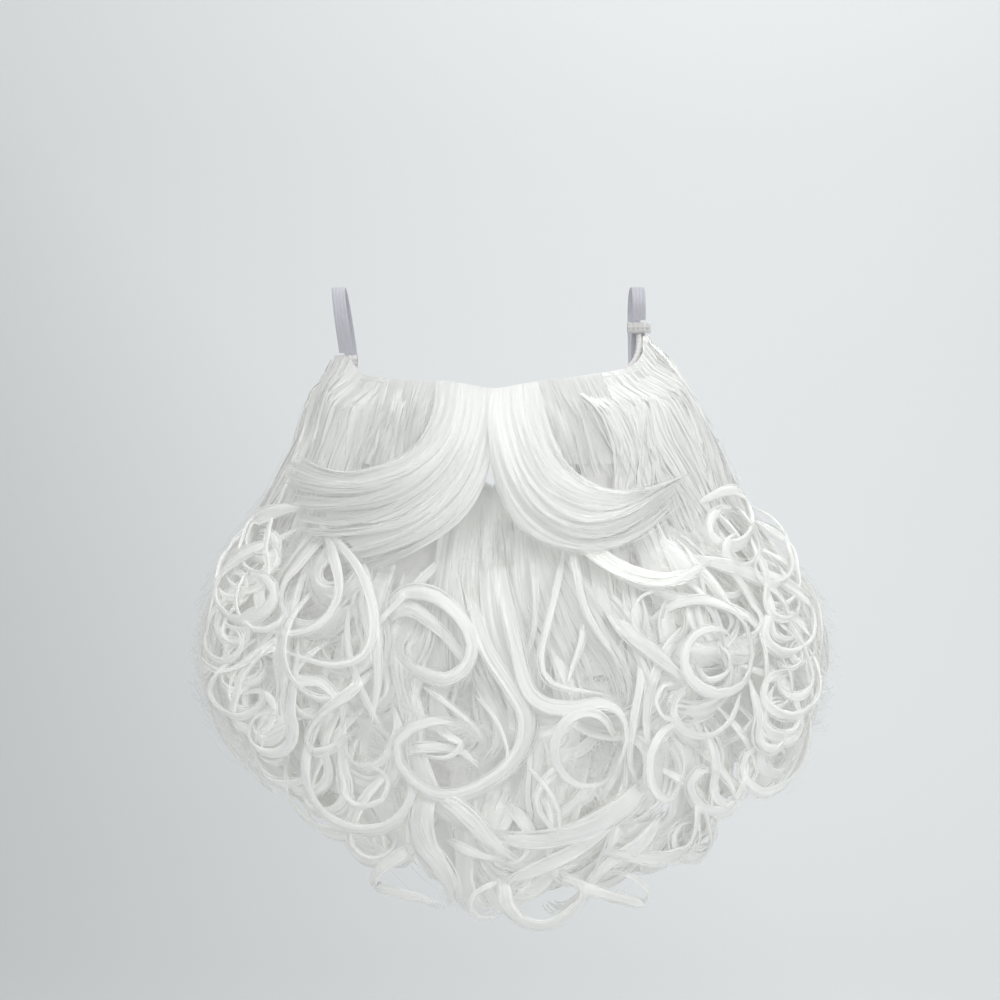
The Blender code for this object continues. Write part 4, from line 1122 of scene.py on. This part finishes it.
def rolled_tab(name, side, material):
    """The end of the fabric rolled on itself over the elastic."""
    centre = tab_centre(side)
    wraps = np.linspace(0, 1, 60)
    outer = TAB_DIAMETER / 2 - TAB_WOUND * wraps
    inner = outer - TAB_FOLD
    angle = math.radians(200) + 2 * math.pi * TAB_TURNS * wraps
    spiral = np.concatenate([
        np.stack([np.cos(angle) * outer * TAB_DEPTH_SHARE, np.sin(angle) * outer], axis=1),
        np.stack([np.cos(angle) * inner * TAB_DEPTH_SHARE, np.sin(angle) * inner], axis=1)[::-1],
    ])
    rows = 25
    along = np.linspace(-0.5, 0.5, rows)
    pinch = 1 - 0.10 * np.exp(-((np.abs(along) - 0.30) / 0.05) ** 2)
    points = np.zeros((rows, len(spiral), 3))
    points[..., 0] = centre[0] + along[:, None] * TAB_LENGTH
    points[..., 1] = centre[1] + spiral[:, 0] * pinch[:, None]
    points[..., 2] = centre[2] + spiral[:, 1] * pinch[:, None]
    marks = np.stack(np.broadcast_arrays(np.linspace(0, 60, len(spiral)), along[:, None] * 40), axis=-1)
    tuft = Tuft()
    tuft.add_grid(points[None], marks[None], wrap=True)
    tuft.finish(name, material, name)


def binding(name, material):
    """A narrow folded tape sewn over the top edge of the backing."""
    angle = np.linspace(-89.5, 89.5, 140)
    top = row_at(EDGES, angle)[..., 0]
    loops = []
    for out, lower in ((-0.0007, 0.0050), (-0.0008, 0.0010), (-0.0001, -0.0007), (FABRIC / 2, -0.0011),
                       (FABRIC + 0.0001, -0.0007), (FABRIC + 0.0008, 0.0010), (FABRIC + 0.0007, 0.0050),
                       (FABRIC + 0.0002, 0.0052), (FABRIC + 0.0002, 0.0010), (-0.0002, 0.0010),
                       (-0.0002, 0.0052)):
        loops.append(face_point(angle, top + lower, out))
    points = np.stack(loops, axis=1)
    marks = np.zeros((*points.shape[:2], 2))
    marks[..., 0] = np.arange(points.shape[1])
    marks[..., 1] = angle[:, None]
    tuft = Tuft()
    tuft.add_grid(points[None], marks[None], wrap=True)
    tuft.finish(name, material, None)


# The beard

# The last two numbers of each hair material are its painted glow (emission that lifts its shade) and its
# subsurface spread.
WHITE = hair_material("hair_white_fibre", (0.89, 0.895, 0.88), (0.965, 0.97, 0.955), 0.32, 0.07, 0.15)
SHEET = hair_material("hair_sheet_fibre", (0.87, 0.875, 0.86), (0.955, 0.96, 0.945), 0.33, 0.06, 0.045)
# SHADE, for the hair under the locks, is a shaded copy: its tones are painted a little darker than WHITE's,
# and its stronger glow paints light into the gaps between the locks.
SHADE = hair_material("hair_under_painted_shade", (0.87, 0.87, 0.855), (0.95, 0.95, 0.94), 0.55, 0.09, 0.10)
CLOTH = cloth_material("backing_weave", (0.74, 0.73, 0.715), (0.87, 0.86, 0.85), 0.0024)
ELASTIC = elastic_material()


def moustache():
    """Both halves of the moustache, with the hair that falls behind them."""
    rng = np.random.default_rng(11)
    for word, over, behind, ragged in (
            ("left", SWEEP_LEFT, BEHIND_LEFT, 0.34), ("right", SWEEP_RIGHT, BEHIND_RIGHT, 0.30)):
        tuft = Tuft()
        sweep(tuft, rng, over, strands=1150, sections=21, width=0.00066, ragged=ragged)
        sweep(tuft, rng, behind, strands=300, sections=14, width=0.0007, sink=0.8)
        tuft.finish(f"moustache_{word}_hair", SHEET, f"moustache_{word}")


def chin():
    """The straight fan over the chin, its ringlets and what lies under them."""
    rng = np.random.default_rng(23)
    under = Tuft()
    mass(under, rng, (-24, 24), top=0.110, bottom=0.290, fill=0.80, columns=56, rough=0.0022)
    inner_fall(under, rng, CHIN_ANGLES, count=180, top=0.150, bottom=0.285)
    frizz(under, rng, 420, CHIN_ANGLES, downs=(0.14, 0.25), fill=(0.84, 1.0))
    # The hair under the chin takes the shaded copy, with its painted shade and painted glow.
    under.finish("chin_hair_under", SHADE, "chin_hair")
    fan = Tuft()
    sweep(fan, rng, FAN_CHIN, strands=1100, sections=18, width=0.0008, ragged=0.35, sink=2.0, tips=24,
          late=0.06)
    sweep(fan, rng, FAN_MOUTH, strands=150, sections=12, width=0.0006, backed=False, late=0.14, tips=12,
          depth=0.8)
    fan.finish("chin_hair_fan", SHEET, "chin_hair")
    fill = Tuft()
    loose_curls(fill, rng, 26, CHIN_ANGLES, drops=(0.18, 0.270), sizes=(0.011, 0.020),
                widths=(0.011, 0.018), lifts=(-0.006, 0.001), strands=26)
    loose_curls(fill, rng, 16, (-22, 26), drops=(0.265, 0.290), sizes=(0.010, 0.016),
                widths=(0.010, 0.016), lifts=(-0.008, 0.000), strands=26)
    fill.finish("chin_hair_fill", WHITE, "chin_hair")
    front = Tuft()
    for row in CURLS_CHIN:
        curl(front, rng, row)
    frizz(front, rng, 260, (-28, 28), downs=(0.15, 0.25), fill=(0.97, 1.05))
    front.finish("chin_hair_curls", WHITE, "chin_hair")


def cheeks():
    """The hair of both sides with its curls."""
    for side, word, curls, rim, lower, seed in (
            (-1, "left", CURLS_LEFT, RIM_LEFT, (-42, -20), 37),
            (1, "right", CURLS_RIGHT, RIM_RIGHT, (20, 44), 51)):
        rng = np.random.default_rng(seed)
        node = f"side_hair_{word}"
        angles = sorted(side * angle for angle in SIDE_ANGLES)
        under = Tuft()
        mass(under, rng, angles, top=None, bottom=SIDE_BOTTOM, fill=0.74, columns=70, rough=0.0012)
        inner_fall(under, rng, angles, count=260, top=0.120, bottom=0.235)
        rear_fall(under, rng, side, count=420)
        frizz(under, rng, 560, angles, downs=(0.10, 0.20), fill=(0.86, 1.0))
        # The hair under the cheek takes the shaded copy, with its painted shade and painted glow.
        under.finish(f"{node}_under", SHADE, node)
        fall = Tuft()
        cheek(fall, rng, side, strands=620, sections=14, first=27, last=104, end=0.158, width=0.0013,
              layer=0.86, depth=1.0)
        cheek(fall, rng, side, strands=860, sections=13, first=27, last=103, end=0.136, width=0.0011,
              layer=0.93, depth=0.8)
        fall.finish(f"{node}_fall", SHEET, node)
        fill = Tuft()
        loose_curls(fill, rng, 23, angles, drops=(0.165, SIDE_BOTTOM), sizes=(0.012, 0.020),
                    widths=(0.011, 0.018), lifts=(-0.009, -0.003), strands=22)
        loose_curls(fill, rng, 24, angles, drops=(0.135, 0.235), sizes=(0.013, 0.023),
                    widths=(0.012, 0.020), lifts=(-0.005, 0.001), strands=26)
        loose_curls(fill, rng, 12, lower, drops=(0.250, 0.272), sizes=(0.011, 0.018),
                    widths=(0.012, 0.019), lifts=(-0.010, -0.002), strands=24)
        rim_curls(fill, rng, side, rim, 20)
        fill.finish(f"{node}_fill", WHITE, node)
        front = Tuft()
        for row in curls:
            curl(front, rng, row)
        side_curls(front, rng, side)
        frizz(front, rng, 420, angles, downs=(0.12, 0.215), fill=(0.90, 1.0))
        if side > 0:
            sweep(front, rng, SWEEP_UNDER, strands=200, sections=18, width=0.0007, backed=False, depth=0.8,
                  tips=5)
        front.finish(f"{node}_curls", WHITE, node)


def straps():
    """Ear loops, tabs and the edge of the backing."""
    for side, word, lean in ((-1, "left", -0.0050), (1, "right", 0.0)):
        ear_loop(f"ear_loop_{word}", side, lean, ELASTIC)
        rolled_tab(f"loop_tab_{word}", side, CLOTH)
    binding("backing_binding", CLOTH)
    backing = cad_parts["backing"]
    backing.data.materials.clear()
    backing.data.materials.append(CLOTH)


# Stage, lights and camera

def stage():
    """A pale floor that curves up into the wall behind."""
    floor = -0.70
    near = -3.0
    bend = 1.4
    radius = 1.3
    side = 6.0
    height = 4.0
    steps = 24
    profile = [(near, floor), (bend, floor)]
    for step in range(1, steps + 1):
        turn = math.radians(90 * step / steps)
        profile.append((bend + radius * math.sin(turn), floor + radius * (1 - math.cos(turn))))
    profile.append((bend + radius, height))
    vertices = [(x, y, z) for x in (-side, side) for y, z in profile]
    count = len(profile)
    faces = [(i, i + 1, count + i + 1, count + i) for i in range(count - 1)]
    mesh = bpy.data.meshes.new("backdrop")
    mesh.from_pydata(vertices, [], faces)
    mesh.shade_smooth()
    material, nodes, links, shader = principled("backdrop_paint", (0.72, 0.745, 0.755), 0.9)
    place = nodes.new("ShaderNodeTexCoord")
    noise = nodes.new("ShaderNodeTexNoise")
    noise.inputs["Scale"].default_value = 0.6
    links.new(place.outputs["Object"], noise.inputs["Vector"])
    ramp = tones(nodes, links, noise.outputs["Fac"], shader, (0.71, 0.73, 0.735), (0.76, 0.775, 0.78))

    # Darker towards the lower left, as in the photograph
    # Painted shade: the backdrop's colour is scaled down towards the lower left, standing in for less light
    # falling there
    apart = nodes.new("ShaderNodeSeparateXYZ")
    links.new(place.outputs["Object"], apart.inputs["Vector"])
    across = nodes.new("ShaderNodeMath")
    across.operation = "ADD"
    links.new(apart.outputs["X"], across.inputs[0])
    links.new(apart.outputs["Z"], across.inputs[1])
    painted_shade = nodes.new("ShaderNodeMapRange")
    fill_in(painted_shade, {"From Min": -1.6, "From Max": -0.3, "To Min": 0.76})
    links.new(across.outputs["Value"], painted_shade.inputs["Value"])
    painted_shade_colour = nodes.new("ShaderNodeVectorMath")
    painted_shade_colour.operation = "SCALE"
    links.new(ramp.outputs["Color"], painted_shade_colour.inputs[0])
    links.new(painted_shade.outputs["Result"], painted_shade_colour.inputs["Scale"])
    links.new(painted_shade_colour.outputs["Vector"], shader.inputs["Base Color"])
    mesh.materials.append(material)
    obj = bpy.data.objects.new("backdrop", mesh)
    bpy.context.scene.collection.objects.link(obj)


def area_light(name, place, target, size, power, colour):
    """A soft square light that faces a point."""
    light = bpy.data.lights.new(name, "AREA")
    light.shape = "RECTANGLE"
    light.size = size
    light.size_y = size
    light.energy = power
    light.color = colour
    obj = bpy.data.objects.new(name, light)
    obj.location = place
    away = np.array(target) - np.array(place)
    heading = math.atan2(-away[0], away[1])
    pitch = math.atan2(math.hypot(away[0], away[1]), -away[2])
    obj.rotation_euler = (pitch, 0, heading)
    bpy.context.scene.collection.objects.link(obj)


def lights():
    """Flat studio light, a little stronger from above on the left."""
    middle = (0, -0.08, -0.15)
    area_light("key", (-0.5, -1.5, 1.3), middle, 1.2, 5.8, (1.0, 0.995, 0.98))
    area_light("fill", (1.4, -1.3, 0.5), middle, 1.3, 5.8, (0.99, 1.0, 1.0))
    area_light("low", (0.0, -1.6, -0.5), middle, 1.2, 1.2, (0.98, 0.99, 1.0))
    area_light("wall", (0.7, 0.5, 1.8), (-0.5, 2.6, 0.8), 1.6, 40, (0.98, 0.99, 1.0))
    world = bpy.data.worlds.new("studio")
    world.use_nodes = True
    background = world.node_tree.nodes["Background"]
    background.inputs["Color"].default_value = (0.97, 0.985, 0.99, 1)
    background.inputs["Strength"].default_value = 0.55
    bpy.context.scene.world = world


def camera():
    """The photograph's view: level, straight at the front."""
    data = bpy.data.cameras.new("camera")
    data.sensor_width = SENSOR
    data.lens = FOCAL / (2 * MIDDLE) * SENSOR
    data.clip_start = 0.05
    obj = bpy.data.objects.new("camera", data)
    obj.location = CAMERA
    obj.rotation_euler = (math.radians(90), 0, 0)
    bpy.context.scene.collection.objects.link(obj)
    bpy.context.scene.camera = obj
    view = bpy.context.scene.view_settings
    view.view_transform = "Standard"
    view.look = "None"


moustache()
chin()
cheeks()
straps()
stage()
lights()
camera()
